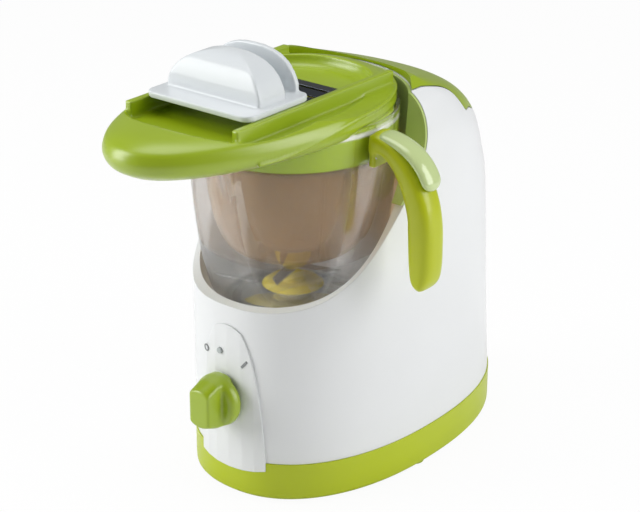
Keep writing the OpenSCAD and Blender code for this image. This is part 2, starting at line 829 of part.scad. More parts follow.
module jug_handle() color("yellowgreen")
    difference() {
        handle_extrusion(handle_w) handle_outline();
        translate([0, jug_y, -1]) cylinder(r = jug_rim_r + 0.1, h = far);
        handle_extrusion(handle_w - 2.6) offset(delta = 0.1) pad_outline(2);
        handle_bores();
    }
module handle_bores()
    for (s = [-1, 1])
        translate([0, jug_y + s * 6, handle_screw_z - 1]) rotate([0, 90, 0])
            cylinder(r = 1.6, h = far / 2);
module thumb_pad() color("honeydew")
    handle_extrusion(handle_w - 3)
        intersection() {
            pad_outline(0);
            translate([0, handle_top - 60]) square([far, 70]);
        }
module handle_screws() color("silver")
    for (s = [-1, 1])
        translate([jug_rim_r - 1, jug_y + s * 6, handle_screw_z - 1]) rotate([0, 90, 0])
            cylinder(r = 1.5, h = 5);

blade_r = 3;
bush_r = 7;
module blade_bush() color("silver")
    translate([0, jug_y, jug_floor_z - 2]) difference() {
        union() {
            cylinder(r = bush_r - 0.02, h = 10);
            translate([0, 0, 4.1]) cylinder(r = 11, h = 2);
        }
        translate([0, 0, -1]) cylinder(r = blade_r + running_fit, h = 30);
    }
hub_z = jug_floor_z + 9;
socket_top = coupling_z + coupling_h + 0.5;
module blade_hub() color("gold")
    translate([0, jug_y, 0]) {
        translate([0, 0, socket_top + 0.2])
            cylinder(r = blade_r, h = hub_z - socket_top);
        translate([0, 0, hub_z]) {
            cylinder(r1 = 21, r2 = 17, h = 3);
            translate([0, 0, 2.9]) cylinder(r1 = 9, r2 = 6, h = 9);
        }
    }
module blades() color("silver")
    translate([0, jug_y, hub_z + 12.1])
        difference() {
            union() {
                cylinder(r = 6, h = 1.5);
                for (a = [20, 110, 200, 290])
                    rotate(a) linear_extrude(1.5)
                        polygon([[4, -4], [26, -5], [34, 1], [27, 2], [4, 4]]);
            }
            translate([0, 0, -1]) cylinder(r = 1, h = 1.2);
        }
module jug_coupling() color("dimgray")
    translate([0, jug_y, coupling_z + 1])
        difference() {
            cylinder(r = coupling_r + 3, h = socket_top - coupling_z + 0.7);
            translate([0, 0, -1]) coupling_form(coupling_r - 2, 2.7, socket_top - coupling_z);
            translate([0, 0, -2]) cylinder(r = blade_r, h = far);
        }

basket_flange_r = jug_rim_r - jug_wall - 1.7;
basket_floor_r = 38;
basket_depth = jug_h - 80;
module basket_half(inset)
    polygon(concat(
        [[0, lug_z - basket_depth + inset]],
        curve([[basket_floor_r, lug_z - basket_depth + inset],
            [basket_floor_r + 13 - inset, lug_z - basket_depth + inset],
            [basket_flange_r - 8 - inset, lug_z - basket_depth / 2],
            [basket_flange_r - 6 - inset, lug_z + (inset > 0 ? 9 : 0)]]),
        [[0, lug_z + (inset > 0 ? 9 : 0)]]
    ));
module steam_basket() color("sandybrown", 0.5)
    translate([0, jug_y, 0]) difference() {
        union() {
            rotate_extrude() basket_half(0);
            translate([0, 0, lug_z + 0.1]) cylinder(r = basket_flange_r, h = 2.5);
            translate([0, 0, lug_z - 0.05]) cylinder(r = basket_flange_r - 6, h = 1);
        }
        rotate_extrude() basket_half(basket_wall);
        for (r = [12, 24], a = [0 : 360 / r * 2 : 359])
            rotate(a) translate([r, 0, lug_z - basket_depth - 5]) cylinder(r = 2, h = 12);
    }

// --------------------------------------------------------------------- lid

lid_seat = jug_top + gap;
lid_top = lid_seat + 16;
lid_z = lid_top - lid_h;
lid_rear = tower_y - 5.5;
lid_y = lid_rear - lid_len / 2;
lid_egg = 0.178;
lid_power = 2.1;
tray_z = lid_top - tray_depth;
tray_front = lid_y - lid_len / 2 + 36;
tray_rear = lid_rear - 16;
function egg(inset) = [
    for (a = [0 : outline_step : 359])
        let (s = signed_power(sin(a), 2 / lid_power))
            [(lid_half_w * (1 + lid_egg * s) - inset) * signed_power(cos(a), 2 / lid_power),
                (lid_len / 2 - inset) * s]
];
module egg_slice(z, inset)
    translate([0, lid_y, z]) linear_extrude(0.01) polygon(egg(inset));
module tray_shape(inset)
    intersection() {
        translate([0, lid_y]) polygon(egg(7 + inset));
        translate([-half_wid, tray_front + inset])
            square([2 * half_wid, tray_rear - tray_front - 2 * inset]);
    }
rail_w = 5;
cutter_y = jug_y - 10;
cutter_w = 76;
cutter_len = 56;
// What is left off each side of the lid, outside its rail: nothing at the front, more to the rear
rim_low = lid_top - 7.5;
module side_cut(s)
    hull()
        for (p = [[jug_y - 66, lid_top], [jug_y - 16, rim_low], [lid_rear + 10, rim_low]])
            translate([s > 0 ? rail_x + rail_w / 2 : -half_wid - 10, p[0], p[1]])
                cube([half_wid + 10 - rail_x - rail_w / 2, 0.1, 30]);
module lid_tray() color("yellowgreen") {
    difference() {
        hull() {
            egg_slice(lid_z, 12);
            egg_slice(lid_z + 5, 3.5);
            egg_slice(lid_z + 11, 0);
            egg_slice(lid_z + 17, 0.5);
            egg_slice(lid_top - 4, 3.5);
            egg_slice(lid_top - 1.5, 9);
            egg_slice(lid_top, 18);
        }
        translate([0, 0, tray_z]) linear_extrude(far) tray_shape(0);
        for (s = [-1, 1]) side_cut(s);
        lid_hollow();
        translate([-cutter_w / 2, cutter_y - cutter_len / 2, tray_z - 2])
            cube([cutter_w, cutter_len, far]);
        translate([-cutter_w / 2 + 3, cutter_y - cutter_len / 2 + 3, lid_z - 1])
            cube([cutter_w - 6, cutter_len - 6, far]);
        translate([0, lid_rear + 1, nozzle_z]) rotate([90, 0, 0]) cylinder(r = 2, h = 24);
    }
    for (s = [-1, 1]) rail(s);
}
// Recess for the jug's rim and spout, and the hollow under the tray
module lid_hollow() {
    translate([0, jug_y, 0]) cylinder(r = jug_rim_r + 0.6, h = lid_seat);
    translate([-27, jug_y - jug_rim_r - spout_reach - 2, 0]) cube([54, 40, lid_seat]);
    translate([0, jug_y, 0]) cylinder(r = collar_r - 6, h = tray_z - wall);
    intersection() {
        translate([0, lid_y, 0]) linear_extrude(tray_z - wall) polygon(egg(17));
        translate([-half_wid, -far, 0])
            cube([2 * half_wid, far + jug_y - jug_rim_r - spout_reach - 6, far]);
    }
}
rail_top = lid_top + 2;
rail_front = tray_front + 18;
rail_rear = tray_rear - 1;
module rail(s)
    translate([s * rail_x - rail_w / 2, rail_front, tray_z - 0.5])
        cube([rail_w, rail_rear - rail_front, rail_top - tray_z + 0.5]);
collar_r = jug_rim_r - jug_wall - 1.5;
collar_z = lug_z + 3.2;
module lid_collar() color("yellowgreen", 0.6)
    translate([0, jug_y, collar_z]) ring(collar_r, collar_r - 2.5, lid_seat - collar_z);
module lid_seal() color("white")
    translate([0, jug_y, lid_seat - 8]) ring(collar_r + 0.5, collar_r, 3);
module cutter_frame() color("silver")
    translate([0, cutter_y, tray_z - 2]) difference() {
        translate([-cutter_w / 2 + 0.2, -cutter_len / 2 + 0.2, 0])
            cube([cutter_w - 0.4, cutter_len - 0.4, 3]);
        translate([-cutter_w / 2 + 8, -cutter_len / 2 + 8, -1])
            cube([cutter_w - 16, cutter_len - 16, 10]);
    }
module cutter_blades() color("dimgray")
    translate([0, cutter_y, tray_z - 2]) {
        for (y = [-14, 0, 14])
            translate([0, y, 1.5]) rotate([14, 0, 0])
                cube([cutter_w - 16.2, 7, 0.8], center = true);
    }

// ------------------------------------------------------------------ pusher

pusher_w = 2 * rail_x - 2;
// Rail left behind the pusher at the rear end of its travel
rail_spare = 19.5;
pusher_rest_y = rail_rear - rail_spare - pusher_travel - pusher_len / 2;
pusher_z = rail_top + 0.1;
plate_t = 4;
pin_circle = 14;
module rounded_plate(w, len, r, t)
    linear_extrude(t) union() {
        square([w - 2 * r, len], center = true);
        square([w, len - 2 * r], center = true);
        for (sx = [-1, 1], sy = [-1, 1])
            translate([sx * (w / 2 - r), sy * (len / 2 - r)]) circle(r = r);
    }
guide_x = rail_x - rail_w / 2 - 0.4;
module pusher() color("white")
    translate([0, pusher_rest_y, pusher_z]) {
        difference() {
            rounded_plate(pusher_w, pusher_len, 7, plate_t);
            translate([0, -2, -1]) cylinder(r = pin_circle + 6, h = plate_t);
        }
        for (s = [-1, 1])
            translate([s * guide_x - (s > 0 ? 3 : 0), -pusher_len / 2 + 8, -3])
                cube([3, pusher_len - 16, 3.01]);
        translate([0, grip_back, plate_t - 0.01]) grip();
        translate([0, pusher_len / 2 - 2, plate_t - 0.01]) arch(guard_w, guard_h, guard_t);
    }
grip_w = 76;
grip_h = 26;
grip_back = 12;
grip_depth = 26;
guard_w = 70;
guard_h = 26;
guard_t = 4;
// An upright arch, standing across the plate, its back face at y = 0
module arch(w, height, depth)
    rotate([90, 0, 0]) linear_extrude(depth)
        polygon(concat(
            [[-w / 2, 0]],
            curve([[-w / 2, 5], [-w / 2 + 5, height * 0.8], [-w / 4, height], [0, height]], 8),
            curve([[0, height], [w / 4, height], [w / 2 - 5, height * 0.8], [w / 2, 5]], 8),
            [[w / 2, 0]]
        ));
module grip()
    intersection() {
        arch(grip_w, grip_h, grip_depth);
        rotate([90, 0, 90]) translate([0, 0, -grip_w]) linear_extrude(2 * grip_w)
            polygon(concat(
                [[1, 0], [1, grip_h + 1]],
                curve([[-3, grip_h], [-grip_depth + 8, grip_h],
                    [-grip_depth, grip_h - 6], [-grip_depth, 0]])
            ));
    }
module food_pins() color("gainsboro")
    translate([0, pusher_rest_y - 2, pusher_z])
        for (a = [0 : 60 : 359])
            rotate(a) translate([pin_circle, 0, -6])
                cylinder(r = 0.8, h = 9, $fn = 24);

base_plinth();
rubber_feet();
base_screws();
outer_housing();
seat_ring();
control_fascia();
scale_marks();
indicator_lens();
selector_switch();
control_board();
motor_frame();
motor_stator();
upper_bearing();
lower_bearing();
motor_grommets();
motor_screws();
shaft_seal();
boiler();
boiler_heater();
thermostat();
thermal_fuse();
water_tank();
water_pipe();
steam_pipe();
steam_nozzle();
tower_panel();
cap_hinge_pin();
interlock_switch();
cord_gland();
control_knob();
knob_shaft();
rotor_core();
motor_shaft();
cooling_fan();
drive_coupling();
tank_cap();
tank_gasket();
interlock_pin();
jug_bowl();
jug_handle();
thumb_pad();
handle_screws();
blade_bush();
blade_hub();
blades();
jug_coupling();
steam_basket();
lid_tray();
lid_collar();
lid_seal();
cutter_frame();
cutter_blades();
pusher();
food_pins();
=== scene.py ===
"""Looks of the baby food maker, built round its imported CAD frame.

Lengths are in millimetres until a mesh is made. The shells repeat the CAD's own outlines at a
finer step, and get the soft edges that moulded plastic has.
"""
import math

import bmesh
import bpy
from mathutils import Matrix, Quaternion, Vector
from mathutils.bvhtree import BVHTree
from mathutils.geometry import barycentric_transform


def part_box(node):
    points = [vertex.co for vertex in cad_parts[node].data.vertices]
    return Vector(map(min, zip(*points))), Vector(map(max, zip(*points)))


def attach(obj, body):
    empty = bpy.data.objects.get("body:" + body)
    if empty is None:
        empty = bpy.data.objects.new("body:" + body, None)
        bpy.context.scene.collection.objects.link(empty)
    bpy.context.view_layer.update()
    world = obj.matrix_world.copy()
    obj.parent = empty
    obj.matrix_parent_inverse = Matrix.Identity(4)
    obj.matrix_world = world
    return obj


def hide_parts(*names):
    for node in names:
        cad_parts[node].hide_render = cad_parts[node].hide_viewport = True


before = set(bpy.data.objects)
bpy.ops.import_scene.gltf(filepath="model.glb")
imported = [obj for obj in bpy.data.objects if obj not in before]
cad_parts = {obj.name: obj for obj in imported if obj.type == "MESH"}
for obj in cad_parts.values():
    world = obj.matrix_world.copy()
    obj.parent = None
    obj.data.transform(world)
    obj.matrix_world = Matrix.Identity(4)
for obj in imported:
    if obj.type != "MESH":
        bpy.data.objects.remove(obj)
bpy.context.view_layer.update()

scene = bpy.context.scene
MM = 0.001  # in metres
SLIVER = 2e-6  # in metres


def node_box(name):
    """Lowest and highest corner of a CAD node, in millimetres."""
    low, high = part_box(name)
    return low / MM, high / MM


def node_middle(name):
    """Middle of a CAD node's box, in millimetres."""
    low, high = node_box(name)
    return (low + high) / 2


# ------------------------------------------------------------------ sizes

HALF_LEN = node_box("base_plinth")[1].y
HALF_WID = node_box("base_plinth")[1].x
PLINTH_H = node_box("base_plinth")[1].z
FOOT_H = node_box("base_plinth")[0].z
JUG_Y = node_middle("blade_hub").y
JUG_TOP = node_box("jug_bowl")[1].z
JUG_FOOT_Z = node_box("jug_bowl")[0].z
WELL_Z = node_box("seat_ring")[0].z
TOWER_H = node_box("tank_cap")[1].z
HINGE_Y = node_middle("cap_hinge_pin").y
HINGE_Z = node_middle("cap_hinge_pin").z
HANDLE_TOP = JUG_TOP - 7
LID_LOW, LID_HIGH = node_box("lid_tray")
RAIL_RISE = 2.0
LID_TOP = LID_HIGH.z - RAIL_RISE
LID_Z = LID_LOW.z
LID_Y = (LID_LOW.y + LID_HIGH.y) / 2
LID_LEN = LID_HIGH.y - LID_LOW.y
LID_REAR = LID_HIGH.y

WALL = 3.0
HOUSING_INSET = 0.8  # the housing stands this far inside the plinth's side
POWER = 2.26  # how square the body's outline is: 2 is an ellipse
JUG_RIM_R = 70.0
JUG_SIDE_R = 46.0  # where the jug's side meets its floor
JUG_WALL = 2.8
JUG_FLOOR_Z = WELL_Z + 12
WELL_R = 77.0
WELL_GAP = 1.5  # round the jug at the well's floor
WELL_FLARE = 5.5  # how much wider that gap is at the top
CAP_GAP = 0.25  # from the cap's seam line to the cap, and to the housing
PANEL_PROUD = 0.1  # how far the panel's front clears the tower's front
PANEL_WALL = 2.0
PLINTH_WALL = 6.0
FAR = 400.0  # past the whole object, for cutting forms
ASIDE = HALF_WID + 30  # past the object's sides
REAR_Y = HALF_LEN - HOUSING_INSET
FRONT_Y = -REAR_Y
BODY_W = HALF_WID - HOUSING_INSET
SHOULDER_REAR = REAR_Y - 16


# ------------------------------------------------------- curves and forms

def signed_power(value, exponent):
    """The power of the value's size, with the value's own sign."""
    return math.copysign(abs(value) ** exponent, value)


def outline(wide, front, rear, power=POWER, count=240):
    """Rounded outline with its own reach to the front and to the rear."""
    points = []
    for i in range(count):
        c, s = math.cos(math.tau * i / count), math.sin(math.tau * i / count)
        reach = front if s < 0 else rear
        points.append((wide * signed_power(c, 2 / power), reach * signed_power(s, 2 / power)))
    return points


def bezier(p0, p1, p2, p3, count=24):
    """Points of a cubic curve, both ends included."""
    points = []
    for i in range(count + 1):
        t = i / count
        weights = ((1 - t) ** 3, 3 * (1 - t) ** 2 * t, 3 * (1 - t) * t * t, t ** 3)
        pulls = list(zip(weights, (p0, p1, p2, p3)))
        points.append(tuple(sum(w * p[k] for w, p in pulls) for k in range(2)))
    return points


def through(rows, per=8):
    """Rows of numbers on one smooth curve through the given rows (Catmull-Rom)."""
    rows = [tuple(map(float, row)) for row in rows]
    padded = [rows[0]] + rows + [rows[-1]]
    out = []
    for k in range(1, len(padded) - 2):
        a, b, c, d = padded[k - 1:k + 3]
        for i in range(per):
            t = i / per
            out.append(tuple(
                0.5 * (2 * q + (r - p) * t + (2 * p - 5 * q + 4 * r - s) * t * t
                       + (3 * q - p - 3 * r + s) * t ** 3)
                for p, q, r, s in zip(a, b, c, d)))
    out.append(rows[-1])
    return out


def resample(points, count):
    """The polyline's points, evenly spaced along it."""
    lengths = [0.0]
    for a, b in zip(points, points[1:]):
        lengths.append(lengths[-1] + math.dist(a, b))
    out = []
    k = 0
    for i in range(count):
        target = lengths[-1] * i / (count - 1)
        while k < len(points) - 2 and lengths[k + 1] < target:
            k += 1
        t = (target - lengths[k]) / max(lengths[k + 1] - lengths[k], 1e-9)
        out.append(tuple(p + (q - p) * t for p, q in zip(points[k], points[k + 1])))
    return out


def shifted(points, distance):
    """A polyline moved sideways, to the left of its direction."""
    out = []
    for i, p in enumerate(points):
        a = points[max(i - 1, 0)]
        b = points[min(i + 1, len(points) - 1)]
        along = Vector((b[0] - a[0], b[1] - a[1])).normalized()
        out.append((p[0] - along.y * distance, p[1] + along.x * distance))
    return out


def new_object(name, verts, faces):
    """A mesh object from points in millimetres, with its faces turned outwards."""
    mesh = bpy.data.meshes.new(name)
    mesh.from_pydata([Vector(v) * MM for v in verts], [], faces)
    work = bmesh.new()
    work.from_mesh(mesh)
    bmesh.ops.recalc_face_normals(work, faces=work.faces)
    work.to_mesh(mesh)
    work.free()
    mesh.polygons.foreach_set("use_smooth", [True] * len(mesh.polygons))
    obj = bpy.data.objects.new(name, mesh)
    scene.collection.objects.link(obj)
    return obj


def loft(name, rings):
    """A closed solid through rings of the same number of points."""
    n = len(rings[0])
    verts = [v for ring in rings for v in ring]
    faces = [tuple(reversed(range(n)))]
    for k in range(len(rings) - 1):
        for i in range(n):
            a, b = k * n + i, k * n + (i + 1) % n
            faces.append((a, b, b + n, a + n))
    faces.append(tuple(range((len(rings) - 1) * n, len(rings) * n)))
    return new_object(name, verts, faces)


def lathe(name, profile, centre_y=0.0, count=180, centre_x=0.0):
    """A solid turned about a vertical axis, from (radius, height) pairs."""
    turns = [math.tau * i / count for i in range(count)]
    return loft(name, [
        [(centre_x + r * math.cos(a), centre_y + r * math.sin(a), z) for a in turns]
        for r, z in profile])


def along_y(name, profile, centre, count=96):
    """A solid turned about an axis to the front, from (radius, reach to the front) pairs."""
    x, y, z = centre
    turns = [math.tau * i / count for i in range(count)]
    return loft(name, [
        [(x + r * math.cos(a), y - reach, z + r * math.sin(a)) for a in turns]
        for r, reach in profile])


def across(name, points):
    """A side view (y, z) extruded from side to side, past the whole object."""
    return loft(name, [[(x, y, z) for y, z in points] for x in (-ASIDE, ASIDE)])


def upright(name, points, z0, z1):
    """A plan view (x, y) extruded from z0 to z1."""
    return loft(name, [[(x, y, z) for x, y in points] for z in (z0, z1)])


def facing_front(name, points, y0, y1):
    """A front view (x, z) extruded from y0 to y1."""
    return loft(name, [[(x, y, z) for x, z in points] for y in (y0, y1)])


def block(name, low, high):
    """A box between two corners."""
    base = [(low[0], low[1]), (high[0], low[1]), (high[0], high[1]), (low[0], high[1])]
    return upright(name, base, low[2], high[2])


def apply_modifiers(obj):
    """Makes the object's mesh what its modifiers give."""
    graph = bpy.context.evaluated_depsgraph_get()
    mesh = bpy.data.meshes.new_from_object(obj.evaluated_get(graph))
    obj.modifiers.clear()
    old = obj.data
    obj.data = mesh
    mesh.name = obj.name
    bpy.data.meshes.remove(old)


def combine(obj, tool, operation="DIFFERENCE"):
    """obj cut by, joined to or kept inside tool, which is used up."""
    step = obj.modifiers.new("combine", "BOOLEAN")
    step.object = tool
    step.operation = operation
    step.solver = "MANIFOLD"
    apply_modifiers(obj)
    bpy.data.objects.remove(tool)
    return obj


def soften(obj, voxel, steps):
    """Even faces of about voxel millimetres, with every edge rounded a little by smoothing."""
    remesh = obj.modifiers.new("even", "REMESH")
    remesh.mode = "VOXEL"
    remesh.voxel_size = voxel * MM
    remesh.use_smooth_shade = True
    smooth = obj.modifiers.new("round", "SMOOTH")
    smooth.factor = 0.5
    smooth.iterations = steps
    apply_modifiers(obj)
    return obj


def drop_slivers(mesh):
    """Closes the faces with no width that a cut leaves along an edge."""
    work = bmesh.new()
    work.from_mesh(mesh)
    bmesh.ops.remove_doubles(work, verts=work.verts, dist=SLIVER)
    bmesh.ops.dissolve_degenerate(work, edges=work.edges, dist=SLIVER)
    work.to_mesh(mesh)
    work.free()


SHARP_ANGLE = math.radians(30)
ON_FORM = 0.02 * MM  # a point this near the form's surface lies on it
SAME_WAY = 0.94  # least cosine between a face and the form's face there


def crisp(obj, form=None):
    """Smooth shading that breaks at the edges. Where the surface is that of form, it is shaded
    just as form is, so a cut through it leaves no mark. The form is used up."""
    mesh = obj.data
    drop_slivers(mesh)
    mesh.polygons.foreach_set("use_smooth", [True] * len(mesh.polygons))
    mesh.set_sharp_from_angle(angle=SHARP_ANGLE)
    if form is None:
        return obj
    whole = form.data
    whole.set_sharp_from_angle(angle=SHARP_ANGLE)
    whole.calc_loop_triangles()
    points = [v.co.copy() for v in whole.vertices]
    triangles = [tuple(t.vertices) for t in whole.loop_triangles]
    corners = [tuple(t.loops) for t in whole.loop_triangles]
    normals = [n.vector.copy() for n in whole.corner_normals]
    tree = BVHTree.FromPolygons(points, triangles)
    shaded = [mesh.corner_normals[i].vector.copy() for i in range(len(mesh.loops))]
    for face in mesh.polygons:
        for i in face.loop_indices:
            at = mesh.vertices[mesh.loops[i].vertex_index].co
            spot, facing, k, away = tree.find_nearest(at)
            if away < ON_FORM and facing.dot(face.normal) > SAME_WAY:
                corner_points = [points[p] for p in triangles[k]]
                corner_normals = [normals[c] for c in corners[k]]
                shaded[i] = barycentric_transform(spot, *corner_points, *corner_normals).normalized()
    mesh.normals_split_custom_set(shaded)
    bpy.data.objects.remove(form)
    return obj


# ------------------------------------------------------------- body forms

# Height, half width, reach to the front and reach to the rear
BODY_ROWS = [
    (PLINTH_H, BODY_W, -FRONT_Y, REAR_Y),
    (100, BODY_W, -FRONT_Y, REAR_Y - 8),
    (180, BODY_W, -FRONT_Y, SHOULDER_REAR),
    (TOWER_H - 65, BODY_W - 0.5, -FRONT_Y - 6, SHOULDER_REAR - 9),
    (TOWER_H - 43, BODY_W - 1.5, -FRONT_Y - 12, SHOULDER_REAR - 20),
    (TOWER_H - 27, BODY_W - 4, -FRONT_Y - 20, SHOULDER_REAR - 36),
    (TOWER_H - 15, BODY_W - 8.5, -FRONT_Y - 30, SHOULDER_REAR - 57),
    (TOWER_H - 7, BODY_W - 15, -FRONT_Y - 44, SHOULDER_REAR - 80),
    (TOWER_H, BODY_W - 26, -FRONT_Y - 64, SHOULDER_REAR - 104),
]
# The body's shoulder line in side view, from the front up to the top of the tower
EDGE_LOW = bezier((-HALF_LEN - 2, WELL_Z + 27.5), (JUG_Y - 22, WELL_Z + 30),
                  (JUG_Y - 2, WELL_Z + 64), (JUG_Y + 24, WELL_Z + 94))
EDGE_HIGH = bezier((JUG_Y + 24, WELL_Z + 94), (JUG_Y + 45, WELL_Z + 118),
                   (JUG_Y + 51, TOWER_H - 28), (JUG_Y + 44, TOWER_H + 2))
# The seam between the cap and the housing in side view, as it runs in the photo
CAP_LINE = through([
    (-HALF_LEN, TOWER_H - 5.25), (JUG_Y + 45, TOWER_H - 5.25), (JUG_Y + 58, TOWER_H - 5.4),
    (JUG_Y + 70, TOWER_H - 8), (JUG_Y + 80, TOWER_H - 11.5), (JUG_Y + 87.5, TOWER_H - 16.5),
    (JUG_Y + 92.5, TOWER_H - 23), (JUG_Y + 98.5, TOWER_H - 30.5), (HINGE_Y - 46, HINGE_Z + 14),
    (HINGE_Y - 30, HINGE_Z + 7.5), (HINGE_Y - 3, HINGE_Z + 2.5), (REAR_Y + 20, HINGE_Z + 2.5)])
# The jug's outer wall, as radius and height
JUG_CURVE = bezier((JUG_SIDE_R, JUG_FLOOR_Z - 1), (58, JUG_FLOOR_Z),
                   (JUG_RIM_R - 3, JUG_FLOOR_Z + 46), (JUG_RIM_R, JUG_TOP))
BULKHEAD_Z = TOWER_H - WALL - 2.5


def body_form(name, inset=0.0):
    """The body's whole outer form, with no well or cap cut from it."""
    rings = []
    for z, wide, front, rear in through(BODY_ROWS, 16):
        ring = outline(wide - inset, front - inset, rear - inset, count=320)
        rings.append([(x, y, z - inset) for x, y in ring])
    return loft(name, rings)


def well_space(name, grow=0.0):
    """The space of the well that the jug stands in."""
    profile = [(JUG_SIDE_R + WELL_GAP + grow, WELL_Z - grow)]
    last = len(JUG_CURVE) - 1
    for i, (r, z) in enumerate(JUG_CURVE):
        profile.append((r + WELL_GAP + WELL_FLARE * i / last + grow, z))
    profile.append((WELL_R + grow, FAR))
    return lathe(name, profile, JUG_Y)


def tower_front(name, grow=0.0):
    """The space in front of the tower, over the body's shoulder line."""
    edge = EDGE_LOW + EDGE_HIGH[1:]
    if grow:
        edge = shifted(edge, -grow)
    return across(name, [(-FAR, edge[0][1])] + edge + [(edge[-1][0], FAR), (-FAR, FAR)])


def over_cap_line(name, lift):
    """All the space over the cap's seam line."""
    line = [(y, z + lift) for y, z in CAP_LINE]
    return across(name, line + [(REAR_Y + 20, FAR), (-HALF_LEN, FAR)])


def bulkhead(name, margin):
    """The tower's front wall, round the well, which stays under the cap."""
    radius = WELL_R + WALL + margin
    return lathe(name, [(radius, 0), (radius, BULKHEAD_Z + margin)], JUG_Y)


def body_void():
    """The hollow inside the housing and the cap."""
    void = body_form("void", WALL)
    combine(void, well_space("well", WALL))
    return combine(void, tower_front("front", 4))


# --------------------------------------------------------------- materials

BROAD_SCALE = 14.0  # of the slow drift in colour and polish, per metre
GRAIN_DISTANCE = 0.0004  # in metres
ROUGH_SPREAD = 0.15  # share by which roughness drifts either way
SHADOW_SHARE = 0.1  # how much of a clear wall's solid look counts in its shadow


def set_values(shader, **values):
    """Sets the shader's own sockets; an underscore stands for a space in a socket's name."""
    for name, value in values.items():
        shader.inputs[name.replace("_", " ")].default_value = value


def noise(nodes, links, where, scale, detail):
    """A noise in the object's own space."""
    made = nodes.new("ShaderNodeTexNoise")
    set_values(made, Scale=scale, Detail=detail)
    links.new(where.outputs["Object"], made.inputs["Vector"])
    return made


def let_through(nodes, links, shader, share, tint):
    """A thin clear wall: light goes straight through it where it is seen square on, and its shadow
    is light."""
    clear = nodes.new("ShaderNodeBsdfTransparent")
    set_values(clear, Color=(*tint, 1.0))
    edge_on = nodes.new("ShaderNodeLayerWeight")
    set_values(edge_on, Blend=0.25)
    solid = nodes.new("ShaderNodeMapRange")
    set_values(solid, To_Min=1.0 - share, To_Max=1.0)
    links.new(edge_on.outputs["Facing"], solid.inputs["Value"])
    rays = nodes.new("ShaderNodeLightPath")
    shade = nodes.new("ShaderNodeMath")
    shade.operation = "MULTIPLY_ADD"
    shade.inputs[1].default_value = SHADOW_SHARE - 1.0
    shade.inputs[2].default_value = 1.0
    links.new(rays.outputs["Is Shadow Ray"], shade.inputs[0])
    part = nodes.new("ShaderNodeMath")
    part.operation = "MULTIPLY"
    links.new(shade.outputs["Value"], part.inputs[0])
    links.new(solid.outputs["Result"], part.inputs[1])
    mix = nodes.new("ShaderNodeMixShader")
    links.new(part.outputs["Value"], mix.inputs["Fac"])
    links.new(clear.outputs["BSDF"], mix.inputs[1])
    links.new(shader.outputs["BSDF"], mix.inputs[2])
    links.new(mix.outputs["Shader"], nodes["Material Output"].inputs["Surface"])


def material(name, base, rough=0.35, coat=0.0, drift=0.03, grain=350.0, grain_depth=0.04,
             soft_edge=0.0008, metal=0.0, see_through=0.0, open_share=0.0,
             open_tint=(1.0, 1.0, 1.0), coat_rough=0.08):
    """Moulded plastic, metal or clear plastic: a slight drift of colour and roughness, a fine grain
    in its surface, and edges that catch the light."""
    made = bpy.data.materials.new(name)
    made.use_nodes = True
    nodes, links = made.node_tree.nodes, made.node_tree.links
    shader = nodes["Principled BSDF"]
    set_values(shader, Metallic=metal, IOR=1.46, Transmission_Weight=see_through, Coat_Weight=coat,
               Coat_Roughness=coat_rough)
    where = nodes.new("ShaderNodeTexCoord")
    broad = noise(nodes, links, where, BROAD_SCALE, 3.0)
    tone = nodes.new("ShaderNodeValToRGB")
    low, high = tone.color_ramp.elements
    low.position = 0.3
    high.position = 0.7
    low.color = [max(c * (1 - drift), 0.0) for c in base] + [1.0]
    high.color = [min(c * (1 + drift), 1.0) for c in base] + [1.0]
    links.new(broad.outputs["Fac"], tone.inputs["Fac"])
    links.new(tone.outputs["Color"], shader.inputs["Base Color"])
    polish = nodes.new("ShaderNodeMapRange")
    set_values(polish, To_Min=rough * (1 - ROUGH_SPREAD), To_Max=rough * (1 + ROUGH_SPREAD))
    links.new(broad.outputs["Fac"], polish.inputs["Value"])
    links.new(polish.outputs["Result"], shader.inputs["Roughness"])
    fine = noise(nodes, links, where, grain, 2.0)
    bump = nodes.new("ShaderNodeBump")
    set_values(bump, Strength=grain_depth, Distance=GRAIN_DISTANCE)
    links.new(fine.outputs["Fac"], bump.inputs["Height"])
    if soft_edge:
        edge = nodes.new("ShaderNodeBevel")
        edge.samples = 4
        set_values(edge, Radius=soft_edge)
        links.new(edge.outputs["Normal"], bump.inputs["Normal"])
    links.new(bump.outputs["Normal"], shader.inputs["Normal"])
    if open_share:
        let_through(nodes, links, shader, open_share, open_tint)
    return made


LIME = material("lime_plastic", (0.315, 0.435, 0.0), 0.36, coat=0.8, coat_rough=0.32)
LIME_DEEP = material("deep_lime_plastic", (0.46, 0.55, 0.0), 0.34, coat=0.25, coat_rough=0.25)
HANDLE_LIME = material("handle_lime_plastic", (0.47, 0.53, 0.0), 0.34, coat=0.15, coat_rough=0.12)
OLIVE = material("olive_plastic", (0.44, 0.55, 0.17), 0.35)
WHITE = material("white_plastic", (0.80, 0.815, 0.825), 0.34, coat=0.35, drift=0.01)
# The pusher's white is the white plastic made darker and cooler: painted shade for the grey shading
# over its grip, not a colour of its own.
PUSHER_WHITE_PAINTED_SHADE = material("pusher_plastic_painted_shade", (0.70, 0.735, 0.755), 0.35, coat=0.3, drift=0.01)
PAD_PALE = material("pale_pad", (0.55, 0.66, 0.30), 0.2, coat=0.7, drift=0.02)
CLEAR = material("clear_jug_plastic", (0.97, 0.98, 0.98), 0.02, see_through=1.0, drift=0.003,
                 grain_depth=0.0, soft_edge=0.0, open_share=0.80)
SMOKE = material("smoked_basket_plastic", (0.72, 0.56, 0.38), 0.12, see_through=0.75, drift=0.05,
                 grain_depth=0.01, soft_edge=0.0, open_share=0.30, open_tint=(0.88, 0.78, 0.62))
TANK_CLEAR = material("tank_plastic", (0.82, 0.88, 0.90), 0.15, see_through=0.8, soft_edge=0.0)
HUB_YELLOW = material("yellow_plastic", (0.75, 0.62, 0.02), 0.35)
STEEL = material("steel", (0.60, 0.61, 0.63), 0.23, metal=1.0, drift=0.05, grain=900,
                 grain_depth=0.03)
